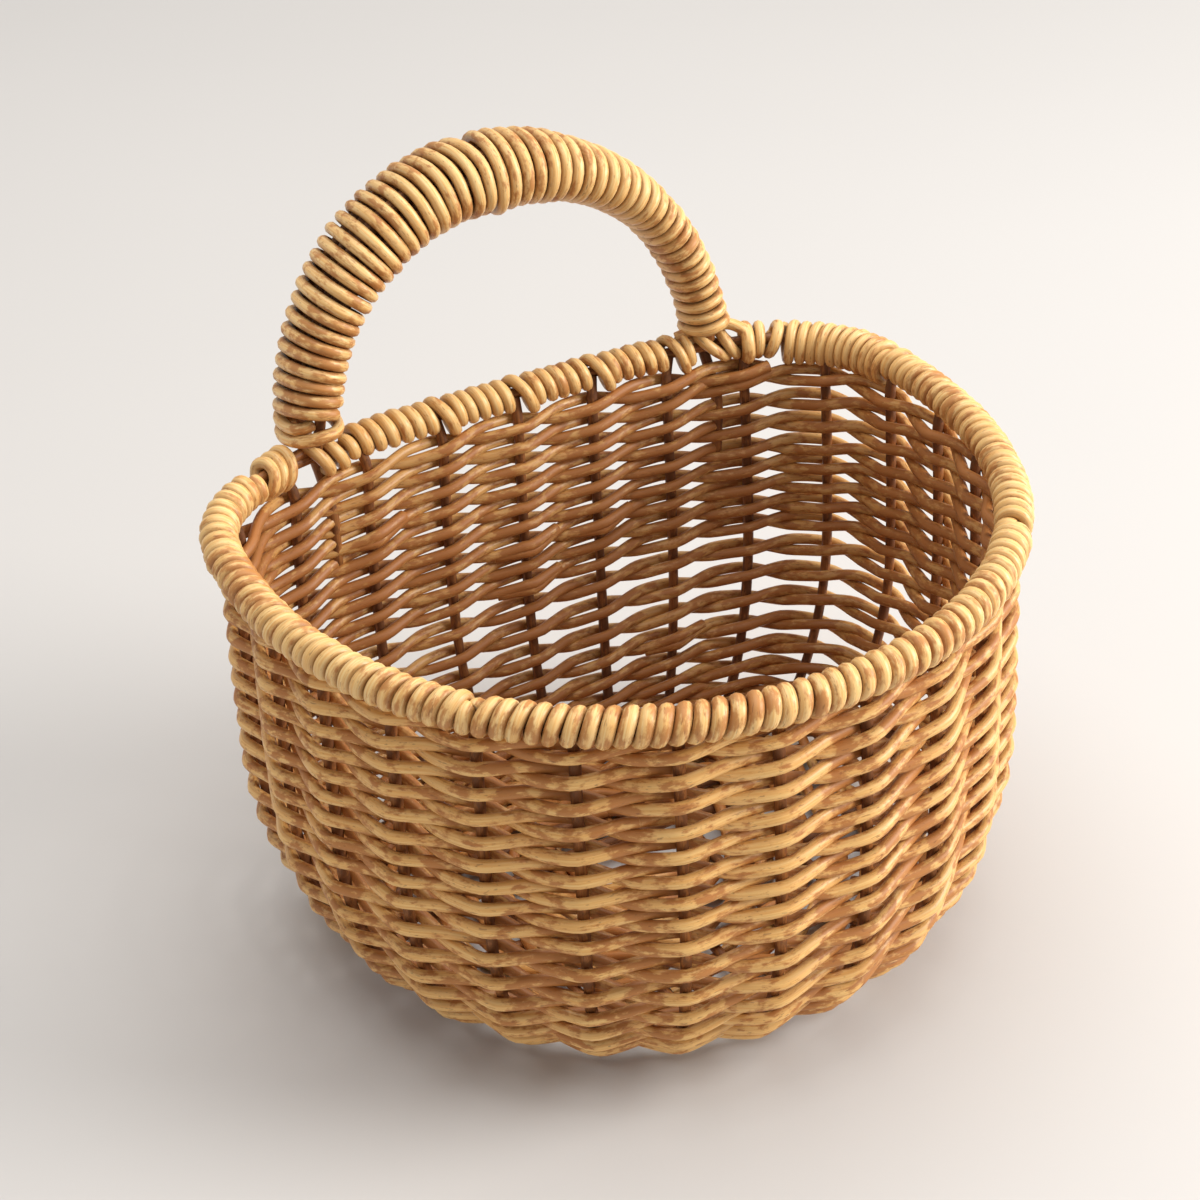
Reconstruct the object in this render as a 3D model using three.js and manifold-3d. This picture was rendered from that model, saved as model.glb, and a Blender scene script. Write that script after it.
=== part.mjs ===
// Half-round hanging basket twined from round rattan core, with a wrapped arch handle.
// Millimetres, +Z up. The flat back of the basket faces +Y and its round front faces -Y.
// The origin is the middle of the underside of the whole basket's box.

import * as THREE from 'three';
import { mergeVertices } from 'three/addons/utils/BufferGeometryUtils.js';
import Module from 'manifold-3d';

const wasm = await Module();
wasm.setup();

// Rim: its centreline, seen from above, is half of a round oval joined to half of a square oval.
// A fullness share is how much an oval is squarer than an ellipse.
const rimHalfWidth = 88;
const rimFrontDepth = 96.6;
const rimBackDepth = 50.2;
const rimHeight = 110;
const frontFullnessShare = 0.04;
const backFullnessShare = 0.66;

// Basket body: distances of the stakes' centreline from the rim's, and the base that it turns in to.
const bellyHeight = 55;
const wallInsetAtRim = 2.4;
const wallInsetAtBelly = 0.8;
const baseHalfWidth = 64;
const baseFrontDepth = 69;
const baseBackDepth = 36;
const baseTurn = THREE.MathUtils.degToRad(80);
const openGapUnderRim = 1;

// Rattan core in its thicknesses
const stakeThickness = 3;
const weaverThickness = 3;
const hoopThickness = 2.8;
const bindingThickness = 3;
const caneThickness = 2.8;
const innerCaneThickness = 4.4;
const wrapThickness = 3;
const wrapPitch = 2.9;
const bindingPitch = 3.4;
const baseStickThickness = 2.8;
const rowPitch = 5.8;
const firstRowDrop = 0.8;

// Handle: an arch over the flat back, leaning back a little, with each foot between two stakes
const handleRise = 57;
const handleLean = 8;
const handleFullnessShare = 0.05;
const notchWidth = 3.4;
const notchShare = 0.48;
const caneTuckDepth = 30;
const caneSpreadHeight = 12;

// Fits between neighbours
const clearance = 0.3;
const leastLoopGap = 0.5;
const rowCover = 0.4;
const footGap = 3.6;
const overrun = 2;

// Counts
const stakeCount = 25;
const footStakeSpaces = 2.5;
const footRoomSpaces = 0.75;
const rowStepSpaces = 6;
const caneCount = 5;
const mostLoops = 24;
const sideBindingCount = 4;
const alongStickCount = 3;
const acrossStickCount = 5;

// Sizes worked out from the ones above
const stakeRadius = stakeThickness / 2;
const hoopRadius = hoopThickness / 2;
const caneRadius = caneThickness / 2;
const innerCaneRadius = innerCaneThickness / 2;
const wallHalf = stakeRadius + weaverThickness;
const footHalf = caneThickness + 2 * clearance;
const wallTopHeight = rimHeight - hoopRadius - bindingThickness - clearance - openGapUnderRim;
const stakeTopHeight = rimHeight - hoopRadius - bindingThickness - 2 * clearance;
const bindingOuterRadius = hoopRadius + clearance + bindingThickness;

// Finishes: fresh honey cane outside, browner cane inside the weave
function rattan(colour, roughness) {
  return new THREE.MeshStandardMaterial({ color: colour, roughness, metalness: 0 });
}
const finishes = {
  weave: () => rattan(0xc4935a, 0.62),
  stake: () => rattan(0x8f6134, 0.68),
  binding: () => rattan(0xd2a468, 0.55),
  core: () => rattan(0x7f5329, 0.7),
};

const basket = new THREE.Group();

function addPiece(name, geometry, finish) {
  const mesh = new THREE.Mesh(geometry, finishes[finish]());
  mesh.name = name;
  basket.add(mesh);
  return mesh;
}

// Closed bodies from rings of points

function signedVolume(points, faces) {
  let sum = 0;
  for (const [a, b, c] of faces) {
    sum += points[a].dot(new THREE.Vector3().crossVectors(points[b], points[c]));
  }
  return sum / 6;
}

function bodyFrom(points, faces) {
  const outward = signedVolume(points, faces) > 0;
  const order = outward ? faces : faces.map(([a, b, c]) => [a, c, b]);
  const geometry = new THREE.BufferGeometry();
  geometry.setAttribute('position', new THREE.Float32BufferAttribute(points.flatMap((p) => p.toArray()), 3));
  geometry.setIndex(order.flat());
  geometry.computeVertexNormals();
  return geometry;
}

// Skins a row of rings. A closed row joins its last ring to its first, an open one gets flat ends.
function skin(rings, closed) {
  const sides = rings[0].length;
  const points = rings.flat();
  const faces = [];
  const spans = closed ? rings.length : rings.length - 1;
  for (let i = 0; i < spans; i += 1) {
    const here = i * sides;
    const next = ((i + 1) % rings.length) * sides;
    for (let j = 0; j < sides; j += 1) {
      const k = (j + 1) % sides;
      faces.push([here + j, here + k, next + k], [here + j, next + k, next + j]);
    }
  }
  if (!closed) {
    const last = (rings.length - 1) * sides;
    for (let j = 1; j < sides - 1; j += 1) {
      faces.push([0, j + 1, j], [last, last + j, last + j + 1]);
    }
  }
  return bodyFrom(points, faces);
}

// Skins a closed row of closed columns, each with any number of points. A point's place says how far
// round its column it lies, and a column is closed at the full round. Where two columns have points
// at one place, the sparser column steps on first.
const fullRound = 3;

function placeAfter(column, i) {
  if (i >= column.length) {
    return Infinity;
  }
  return i + 1 < column.length ? column[i + 1].place : fullRound;
}

function skinUneven(columns) {
  const faces = [];
  const firsts = [0];
  for (const column of columns) {
    firsts.push(firsts[firsts.length - 1] + column.length);
  }
  columns.forEach((column, c) => {
    const n = (c + 1) % columns.length;
    const next = columns[n];
    const here = (i) => firsts[c] + (i % column.length);
    const there = (j) => firsts[n] + (j % next.length);
    let i = 0;
    let j = 0;
    while (i < column.length || j < next.length) {
      const lead = placeAfter(next, j) - placeAfter(column, i);
      if (lead > 0 || (lead === 0 && column.length < next.length)) {
        faces.push([here(i), here(i + 1), there(j)]);
        i += 1;
      } else {
        faces.push([here(i), there(j + 1), there(j)]);
        j += 1;
      }
    }
  });
  return bodyFrom(columns.flat().map(({ point }) => point), faces);
}

function ringOf(centre, across, along, acrossRadius, alongRadius, sides) {
  const ring = [];
  for (let j = 0; j < sides; j += 1) {
    const turn = (2 * Math.PI * j) / sides;
    ring.push(centre.clone()
      .addScaledVector(across, acrossRadius * Math.cos(turn))
      .addScaledVector(along, alongRadius * Math.sin(turn)));
  }
  return ring;
}

// A rod of round section through points, its sections square to the path
function rod(path, reference, radius, sides) {
  const rings = path.map((point, i) => {
    const before = path[Math.max(i - 1, 0)];
    const after = path[Math.min(i + 1, path.length - 1)];
    const tangent = after.clone().sub(before).normalize();
    const across = new THREE.Vector3().crossVectors(reference(i), tangent).normalize();
    const along = new THREE.Vector3().crossVectors(tangent, across);
    return ringOf(point, across, along, radius, radius, sides);
  });
  return skin(rings, false);
}

// Cuts with solids that share merged corners

function solidOf(geometry) {
  const bare = geometry.clone();
  bare.deleteAttribute('normal');
  bare.deleteAttribute('uv');
  const merged = mergeVertices(bare);
  return new wasm.Manifold(new wasm.Mesh({
    numProp: 3,
    vertProperties: new Float32Array(merged.attributes.position.array),
    triVerts: new Uint32Array(merged.index.array),
  }));
}

function cutFrom(geometry, cutters) {
  let solid = solidOf(geometry);
  for (const cutter of cutters) {
    solid = solid.subtract(solidOf(cutter));
  }
  const mesh = solid.getMesh();
  const result = new THREE.BufferGeometry();
  result.setAttribute('position', new THREE.BufferAttribute(new Float32Array(mesh.vertProperties), 3));
  result.setIndex(new THREE.BufferAttribute(new Uint32Array(mesh.triVerts), 1));
  return result;
}

// Plan outlines

function ovalPower(fullnessShare) {
  return 2 * (1 + fullnessShare);
}

function outlinePoint(angle, halfWidth, frontDepth, backDepth) {
  const front = Math.sin(angle) < 0;
  const power = ovalPower(front ? frontFullnessShare : backFullnessShare);
  const depth = front ? frontDepth : backDepth;
  const acrossShare = Math.abs(Math.cos(angle) / halfWidth) ** power;
  const depthShare = Math.abs(Math.sin(angle) / depth) ** power;
  const reach = (acrossShare + depthShare) ** (-1 / power);
  return new THREE.Vector2(reach * Math.cos(angle), reach * Math.sin(angle));
}

class RimLine extends THREE.Curve {
  constructor() {
    super();
    this.arcLengthDivisions = 1000;
  }

  angleAt(share) {
    return Math.PI / 2 + 2 * Math.PI * this.getUtoTmapping(share - Math.floor(share));
  }

  getPoint(t) {
    const plan = outlinePoint(Math.PI / 2 + 2 * Math.PI * t, rimHalfWidth, rimFrontDepth, rimBackDepth);
    return new THREE.Vector3(plan.x, plan.y, rimHeight);
  }
}

const rimLine = new RimLine();
const rimLength = rimLine.getLength();
const footAlongRim = footStakeSpaces * rimLength / stakeCount;

// Basket wall: the surface through the stakes' centres, from the rim (down 0) to the base (down 1)

const bellyDrop = bellyHeight - wallHalf;
const lowerLength = baseTurn * (bellyDrop + rimHalfWidth - baseHalfWidth) / 2;
const bellyShare = (rimHeight - bellyHeight) / (rimHeight - bellyHeight + lowerLength);

function wallReach(down, rimReach, baseReach) {
  const bellyReach = rimReach - wallInsetAtBelly;
  if (down < bellyShare) {
    const rise = 1 - down / bellyShare;
    return bellyReach - (wallInsetAtRim - wallInsetAtBelly) * rise * rise;
  }
  const turn = baseTurn * (down - bellyShare) / (1 - bellyShare);
  return bellyReach - (bellyReach - baseReach) * (1 - Math.cos(turn)) / (1 - Math.cos(baseTurn));
}

function wallHeight(down) {
  if (down < bellyShare) {
    return rimHeight - (rimHeight - bellyHeight) * down / bellyShare;
  }
  return bellyHeight - bellyDrop * Math.sin(baseTurn * (down - bellyShare) / (1 - bellyShare));
}

function downAtHeight(height) {
  return bellyShare * (rimHeight - height) / (rimHeight - bellyHeight);
}

function wallPoint(angle, down) {
  const plan = outlinePoint(
    angle,
    wallReach(down, rimHalfWidth, baseHalfWidth),
    wallReach(down, rimFrontDepth, baseFrontDepth),
    wallReach(down, rimBackDepth, baseBackDepth),
  );
  return new THREE.Vector3(plan.x, plan.y, wallHeight(down));
}

const differenceShare = 0.001;

function wallNormal(angle, down) {
  const around = wallPoint(angle + differenceShare, down).sub(wallPoint(angle - differenceShare, down));
  const along = wallPoint(angle, down + differenceShare).sub(wallPoint(angle, down - differenceShare));
  return along.cross(around).normalize();
}

function wallLayer(angle, down, lift) {
  return wallPoint(angle, down).addScaledVector(wallNormal(angle, down), lift);
}

const upperSteps = 1;
const lowerSteps = 4;
const wallRows = [];
for (let i = 0; i < upperSteps; i += 1) {
  const top = downAtHeight(wallTopHeight);
  wallRows.push(top + (bellyShare - top) * i / upperSteps);
}
for (let i = 0; i <= lowerSteps; i += 1) {
  wallRows.push(bellyShare + (1 - bellyShare) * i / lowerSteps);
}

const stakeSides = 5;
const channelRadius = stakeRadius + clearance / Math.cos(Math.PI / stakeSides);

// Rows: level for most of a round, they step down by one before the right foot, where they start
const rowShare = rowPitch * bellyShare / (rimHeight - bellyHeight);
const firstRow = downAtHeight(wallTopHeight - firstRowDrop);
const grooveHalf = channelRadius + rowCover;
const edgeShare = 0.15;

function rowShift(spaces) {
  const passed = (spaces + footStakeSpaces) % stakeCount;
  return Math.max(0, 1 - (stakeCount - passed) / rowStepSpaces);
}

// Each row of weavers stands out over a stake, and the wall dips between two rows
function reliefOverStake(spaces, down) {
  const rows = (down - firstRow) / rowShare - rowShift(spaces);
  const standing = 2 * Math.abs(rows - Math.floor(rows) - 1 / 2);
  return THREE.MathUtils.lerp(grooveHalf, wallHalf, standing);
}

// Between two stakes the wall is one weaver thick, or more where a foot's canes go down into it
function halfBetweenStakes(spaces, down) {
  const toFoot = Math.min(spaces, stakeCount - spaces) - footStakeSpaces;
  return Math.abs(toFoot) < footRoomSpaces && down <= bellyShare ? footHalf : weaverThickness / 2;
}

// Places down the wall's outer face: each row's middle, and over a stake each dip too
function outerPlaces(spaces) {
  const step = Number.isInteger(spaces) ? 1 / 2 : 1;
  const edge = edgeShare * rowShare;
  const places = [wallRows[0]];
  for (let row = 0; row * rowShare < 1; row += step) {
    const down = firstRow + rowShare * (row + rowShift(spaces));
    if (down > wallRows[0] + edge && down < 1 - edge) {
      places.push(down);
    }
  }
  return [...places, 1];
}

function wallShell() {
  const columns = [];
  for (let i = 0; i < 2 * stakeCount; i += 1) {
    const spaces = i / 2;
    const angle = rimLine.angleAt(spaces / stakeCount);
    const overStake = Number.isInteger(spaces);
    const outer = outerPlaces(spaces).map((down) => {
      const lift = overStake ? reliefOverStake(spaces, down) : halfBetweenStakes(spaces, down);
      return { point: wallLayer(angle, down, lift), place: down };
    });
    const inner = wallRows.map((down) => {
      const lift = overStake ? wallHalf : halfBetweenStakes(spaces, down);
      return { point: wallLayer(angle, down, -lift), place: fullRound - down };
    });
    columns.push([...outer, ...inner.reverse()]);
  }
  return skinUneven(columns);
}

// Stakes: upright rods that the weavers pass on both sides, standing in channels of the wall

function stakePath(angle, reachPast) {
  const path = wallRows.map((down) => wallPoint(angle, down));
  const top = path[0].clone();
  top.z = stakeTopHeight + reachPast;
  const lowEnd = path[path.length - 1];
  const lastRun = lowEnd.clone().sub(path[path.length - 2]).normalize();
  lowEnd.addScaledVector(lastRun, reachPast);
  return [top, ...path];
}

function stakeRod(angle, radius, reachPast) {
  const path = stakePath(angle, reachPast);
  const facing = [0, ...wallRows].map((down) => wallNormal(angle, down));
  return rod(path, (i) => facing[i], radius, stakeSides);
}

const stakeAngles = [];
for (let i = 0; i < stakeCount; i += 1) {
  stakeAngles.push(rimLine.angleAt(i / stakeCount));
}

// Handle: canes side by side in a leaning plane, over an arch between two feet on the rim

const leftFoot = rimLine.getPointAt(footAlongRim / rimLength);
const handleHalfWidth = Math.abs(leftFoot.x);
const leanAngle = Math.atan(handleLean / handleRise);
const handleSide = new THREE.Vector3(0, Math.cos(leanAngle), -Math.sin(leanAngle));
const handleUp = new THREE.Vector3(0, Math.sin(leanAngle), Math.cos(leanAngle));

class HandleArch extends THREE.Curve {
  constructor() {
    super();
    this.arcLengthDivisions = 600;
    this.slantRise = Math.hypot(handleRise, handleLean);
    this.power = ovalPower(handleFullnessShare);
  }

  getPoint(t) {
    const turn = Math.PI * t;
    const widthShare = Math.abs(Math.cos(turn) / handleHalfWidth) ** this.power;
    const riseShare = Math.abs(Math.sin(turn) / this.slantRise) ** this.power;
    const reach = (widthShare + riseShare) ** (-1 / this.power);
    const foot = new THREE.Vector3(-reach * Math.cos(turn), leftFoot.y, rimHeight);
    return foot.addScaledVector(handleUp, reach * Math.sin(turn));
  }
}

const arch = new HandleArch();
const archLength = arch.getLength();

function archOutward(share) {
  return new THREE.Vector3().crossVectors(handleSide, arch.getTangentAt(share)).normalize();
}

const innerCaneSpacing = innerCaneThickness + clearance;
const lastInnerCaneOffset = innerCaneSpacing * (caneCount - 3) / 2;
const outerCaneOffset = lastInnerCaneOffset + innerCaneRadius + clearance + caneRadius;
const archSteps = 20;
const caneSides = 6;
const spreadShare = caneSpreadHeight / archLength;

function archPath(offset, fromShare, toShare) {
  const path = [];
  for (let i = 0; i <= archSteps; i += 1) {
    const share = fromShare + (toShare - fromShare) * i / archSteps;
    path.push(arch.getPointAt(share).addScaledVector(handleSide, offset));
  }
  return path;
}

// The lower end of an outer cane: past the hoop, then into the wall beside its fellow
const passOffset = hoopRadius + caneRadius + 2 * clearance;
const tuckOffset = caneRadius + clearance;

function tuckPath(side, facing, reachPast) {
  const foot = new THREE.Vector3(side * handleHalfWidth, leftFoot.y, rimHeight);
  const footAngle = Math.atan2(foot.y, foot.x);
  const places = [
    { drop: caneTuckDepth + reachPast, slide: 1, stand: 0 },
    { drop: caneTuckDepth / 2, slide: 1, stand: 0 },
    { drop: caneTuckDepth / 4, slide: 0.6, stand: 0.5 },
    { drop: 0, slide: 0, stand: 1 },
  ];
  return places.map(({ drop, slide, stand }) => {
    const inWall = wallPoint(footAngle, downAtHeight(rimHeight - drop));
    const standOff = facing * passOffset * stand;
    const y = THREE.MathUtils.lerp(inWall.y, foot.y, stand) + standOff;
    return new THREE.Vector3(foot.x + facing * tuckOffset * slide, y, rimHeight - drop);
  });
}

function outerCanePath(facing) {
  const offset = facing * outerCaneOffset;
  const left = tuckPath(-1, facing, 0);
  const right = tuckPath(1, facing, 0).reverse();
  return [...left, ...archPath(offset, spreadShare, 1 - spreadShare), ...right];
}

function caneRod(path, radius) {
  return rod(path, () => handleSide, radius, caneSides);
}

const caneChannels = [];
for (const side of [-1, 1]) {
  for (const facing of [-1, 1]) {
    const radius = caneRadius + clearance / Math.cos(Math.PI / caneSides);
    caneChannels.push(caneRod(tuckPath(side, facing, clearance), radius));
  }
}

const stakeChannels = stakeAngles.map((angle) => stakeRod(angle, channelRadius, overrun));
addPiece('woven_wall', cutFrom(wallShell(), [...stakeChannels, ...caneChannels]), 'weave');
stakeAngles.forEach((angle, i) => {
  const number = String(i + 1).padStart(2, '0');
  addPiece(`stake_${number}`, stakeRod(angle, stakeRadius, 0), 'stake');
});

for (let i = 0; i < caneCount; i += 1) {
  const offset = innerCaneSpacing * (i - (caneCount - 1) / 2);
  const outer = i === 0 || i === caneCount - 1;
  const path = outer ? outerCanePath(Math.sign(offset)) : archPath(offset, spreadShare, 1 - spreadShare);
  addPiece(`handle_cane_${i + 1}`, caneRod(path, outer ? caneRadius : innerCaneRadius), 'core');
}

// Windings: one unbroken strand whose section points outward from what it is wound on

function leastGapBetweenLoops(rings, stepsPerLoop) {
  let least = Infinity;
  for (let i = 0; i + stepsPerLoop - 2 < rings.length; i += 1) {
    const lastStep = Math.min(i + stepsPerLoop + 2, rings.length - 1);
    for (let k = i + stepsPerLoop - 2; k <= lastStep; k += 1) {
      for (const here of rings[i]) {
        for (const there of rings[k]) {
          least = Math.min(least, here.distanceTo(there));
        }
      }
    }
  }
  return least;
}

// The loops share the length evenly, and each strand is as wide as its neighbours let it be.
// frameAt gives the centre, the two directions square to the core and the direction along it.
function winding(name, length, loop, frameAt, handed) {
  const rings = [];
  const loops = Math.min(mostLoops, Math.floor(length / loop.pitch));
  const steps = loops * loop.steps;
  const halfWidth = (loop.closeShare * length / loops - leastLoopGap) / 2;
  for (let i = 0; i <= steps; i += 1) {
    const frame = frameAt(length * i / steps);
    const turn = handed * 2 * Math.PI * i / loop.steps;
    const away = frame.out.clone().multiplyScalar(Math.cos(turn) * loop.outReach)
      .addScaledVector(frame.side, Math.sin(turn) * loop.sideReach);
    const lift = frame.out.clone().multiplyScalar(Math.cos(turn) / loop.outReach)
      .addScaledVector(frame.side, Math.sin(turn) / loop.sideReach).normalize();
    const centre = frame.centre.clone().add(away);
    rings.push(ringOf(centre, lift, frame.along, loop.strandRadius, halfWidth, loop.sides));
  }
  console.log(`${name}: ${loops} loops, least gap ${leastGapBetweenLoops(rings, loop.steps).toFixed(2)} mm`);
  return skin(rings, false);
}

// Handle windings: one from each foot, meeting at a narrow notch near the top

const wrapRadius = wrapThickness / 2;
const caneStackHalf = outerCaneOffset + caneRadius;
const wrapReach = innerCaneRadius + 2 * clearance + wrapRadius;
const handleLoop = {
  steps: 9,
  sides: 5,
  pitch: wrapPitch,
  closeShare: 1 - wrapReach / handleHalfWidth,
  strandRadius: wrapRadius,
  outReach: wrapReach,
  sideReach: caneStackHalf + 3 * clearance + wrapRadius,
};
const tieHeight = bindingOuterRadius + clearance + wrapRadius;
const wrapStart = tieHeight + wrapThickness + leastLoopGap;

function handleFrame(distance) {
  const share = distance / archLength;
  return {
    centre: arch.getPointAt(share),
    out: archOutward(share),
    side: handleSide,
    along: arch.getTangentAt(share),
  };
}

const leftWrapEnd = archLength * notchShare - notchWidth / 2 - wrapRadius;
const rightWrapEnd = archLength * (1 - notchShare) - notchWidth / 2 - wrapRadius;
const leftWrap = winding(
  'handle_winding_left',
  leftWrapEnd - wrapStart,
  handleLoop,
  (distance) => handleFrame(wrapStart + distance),
  1,
);
const rightWrap = winding(
  'handle_winding_right',
  rightWrapEnd - wrapStart,
  handleLoop,
  (distance) => handleFrame(archLength - wrapStart - distance),
  -1,
);
addPiece('handle_winding_left', leftWrap, 'binding');
addPiece('handle_winding_right', rightWrap, 'binding');

// Foot ties: the last loose turn round the canes, lying on the rim

function footTie(share) {
  const frame = handleFrame(share * archLength);
  const rings = [];
  for (let i = 0; i < handleLoop.steps; i += 1) {
    const turn = 2 * Math.PI * i / handleLoop.steps;
    const lift = frame.out.clone().multiplyScalar(Math.cos(turn))
      .addScaledVector(frame.side, Math.sin(turn));
    const centre = frame.centre.clone()
      .addScaledVector(frame.out, Math.cos(turn) * handleLoop.outReach)
      .addScaledVector(frame.side, Math.sin(turn) * handleLoop.sideReach);
    rings.push(ringOf(centre, lift, frame.along, wrapRadius, wrapRadius, handleLoop.sides));
  }
  return skin(rings, true);
}

addPiece('foot_tie_left', footTie(tieHeight / archLength), 'binding');
addPiece('foot_tie_right', footTie(1 - tieHeight / archLength), 'binding');

// Rim: a hoop inside its bindings, which leave room for the canes at each foot

function rimFrame(distance) {
  const angle = rimLine.angleAt(distance / rimLength);
  const centre = rimLine.getPointAt(distance / rimLength - Math.floor(distance / rimLength));
  const ahead = outlinePoint(angle + differenceShare, rimHalfWidth, rimFrontDepth, rimBackDepth);
  const behind = outlinePoint(angle - differenceShare, rimHalfWidth, rimFrontDepth, rimBackDepth);
  const along = new THREE.Vector3(ahead.x - behind.x, ahead.y - behind.y, 0).normalize();
  const side = new THREE.Vector3(0, 0, 1);
  return { centre, along, side, out: new THREE.Vector3().crossVectors(along, side) };
}

const hoopSteps = 52;
const hoopSides = 6;

function rimTube(from, to, radius, sides, steps) {
  const rings = [];
  for (let i = 0; i <= steps; i += 1) {
    const frame = rimFrame(from + (to - from) * i / steps);
    rings.push(ringOf(frame.centre, frame.out, frame.side, radius, radius, sides));
  }
  return rings;
}

const hoopRings = rimTube(0, rimLength, hoopRadius, hoopSides, hoopSteps).slice(1);
addPiece('rim_hoop', skin(hoopRings, true), 'core');

const bindingLoop = {
  steps: 8,
  sides: 4,
  pitch: bindingPitch,
  closeShare: 0.95,
  strandRadius: bindingThickness / 2,
  outReach: hoopRadius + clearance + bindingThickness / 2,
  sideReach: hoopRadius + clearance + bindingThickness / 2,
};

const backStart = rimLength - footAlongRim + footGap;
const backLength = 2 * (footAlongRim - footGap);
const backBinding = winding(
  'rim_binding_back',
  backLength,
  bindingLoop,
  (distance) => rimFrame(backStart + distance),
  1,
);
addPiece('rim_binding_back', backBinding, 'binding');

// The front length is wound too; the four lengths between it and the feet are plain sleeves
const frontLength = mostLoops * bindingPitch;
const frontStart = (rimLength - frontLength) / 2;
const frontBinding = winding(
  'rim_binding_front',
  frontLength,
  bindingLoop,
  (distance) => rimFrame(frontStart + distance),
  1,
);
addPiece('rim_binding_front', frontBinding, 'binding');

const sleeveSides = 8;
const sleeveSteps = 8;
const sleeveBore = hoopRadius + 2 * clearance;

function rimSleeve(from, to) {
  const outer = rimTube(from, to, bindingOuterRadius, sleeveSides, sleeveSteps);
  const bore = rimTube(from - overrun, to + overrun, sleeveBore, sleeveSides, sleeveSteps);
  return cutFrom(skin(outer, false), [skin(bore, false)]);
}

const frontRoom = frontLength + bindingPitch;
const sideLength = (rimLength - frontRoom) / 2 - footAlongRim - footGap;
const sleeveLength = 2 * sideLength / sideBindingCount;
for (let i = 0; i < sideBindingCount; i += 1) {
  const onLeft = i < sideBindingCount / 2;
  const sideStart = onLeft ? footAlongRim + footGap : (rimLength + frontRoom) / 2;
  const place = onLeft ? i : i - sideBindingCount / 2;
  const from = sideStart + sleeveLength * place + clearance;
  const to = sideStart + sleeveLength * (place + 1) - clearance;
  addPiece(`rim_binding_side_${i + 1}`, rimSleeve(from, to), 'binding');
}

// Base: a flat woven plate inside the turned-in foot of the wall, on crossed sticks

const plateThickness = 2 * wallHalf;

// The wall's lower edge is square to the wall, so it leans in over the plate
function plateReach(rimReach, baseReach) {
  const turnRadius = (rimReach - wallInsetAtBelly - baseReach) / (1 - Math.cos(baseTurn));
  const run = turnRadius * Math.sin(baseTurn);
  const fall = bellyDrop * Math.cos(baseTurn);
  return baseReach - 2 * clearance - wallHalf * fall / Math.hypot(run, fall);
}

const plateHalfWidth = plateReach(rimHalfWidth, baseHalfWidth);
const plateFrontDepth = plateReach(rimFrontDepth, baseFrontDepth);
const plateBackDepth = plateReach(rimBackDepth, baseBackDepth);
const stickRadius = baseStickThickness / 2;
const stickSides = 6;
const stickChannelRadius = stickRadius + clearance / Math.cos(Math.PI / stickSides);

function plateBlank() {
  const corners = [];
  for (let i = 0; i < 2 * stakeCount; i += 1) {
    const angle = rimLine.angleAt(i / (2 * stakeCount));
    corners.push(outlinePoint(angle, plateHalfWidth, plateFrontDepth, plateBackDepth));
  }
  return new THREE.ExtrudeGeometry(new THREE.Shape(corners), { depth: plateThickness, bevelEnabled: false });
}

// How far the plate reaches along one direction where the other direction has gone a share of its reach
function plateChord(share, fullnessShare) {
  const power = ovalPower(fullnessShare);
  return (1 - Math.abs(share) ** power) ** (1 / power);
}

// Sticks along the width lie in the upper layer, sticks from front to back in the lower one
const layerRise = stickRadius + clearance / 2;
const sticks = [];
for (let i = 0; i < alongStickCount; i += 1) {
  const share = (i - (alongStickCount - 1) / 2) / alongStickCount;
  const front = share < 0;
  const y = share * (front ? plateFrontDepth : plateBackDepth);
  const half = plateHalfWidth * plateChord(share, front ? frontFullnessShare : backFullnessShare);
  sticks.push({ name: `base_stick_along_${i + 1}`, from: [-half, y], to: [half, y], lift: layerRise });
}
for (let i = 0; i < acrossStickCount; i += 1) {
  const share = (i - (acrossStickCount - 1) / 2) / (acrossStickCount / 2 + 1);
  const x = share * plateHalfWidth;
  const front = plateFrontDepth * plateChord(share, frontFullnessShare);
  const back = plateBackDepth * plateChord(share, backFullnessShare);
  sticks.push({ name: `base_stick_across_${i + 1}`, from: [x, -front], to: [x, back], lift: -layerRise });
}

function stickRod(stick, radius, reachPast) {
  const height = plateThickness / 2 + stick.lift;
  const from = new THREE.Vector3(stick.from[0], stick.from[1], height);
  const to = new THREE.Vector3(stick.to[0], stick.to[1], height);
  const run = to.clone().sub(from).normalize();
  from.addScaledVector(run, -reachPast);
  to.addScaledVector(run, reachPast);
  const up = new THREE.Vector3(0, 0, 1);
  return rod([from, to], () => up, radius, stickSides);
}

const stickChannels = sticks.map((stick) => stickRod(stick, stickChannelRadius, overrun));
addPiece('woven_base', cutFrom(plateBlank(), stickChannels), 'weave');
for (const stick of sticks) {
  addPiece(stick.name, stickRod(stick, stickRadius, -2 * clearance), 'stake');
}

// The origin goes to the middle of the underside of the whole box
const box = new THREE.Box3().setFromObject(basket);
const middle = box.getCenter(new THREE.Vector3());
basket.position.set(-middle.x, -middle.y, -box.min.z);

export default basket;
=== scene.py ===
"""Half-round hanging basket twined from round rattan core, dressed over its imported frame.

Metres, +Z up. The flat back faces +Y and the round front faces -Y.
"""

import math

import bpy
import numpy as np
from mathutils import Matrix, Vector


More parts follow.
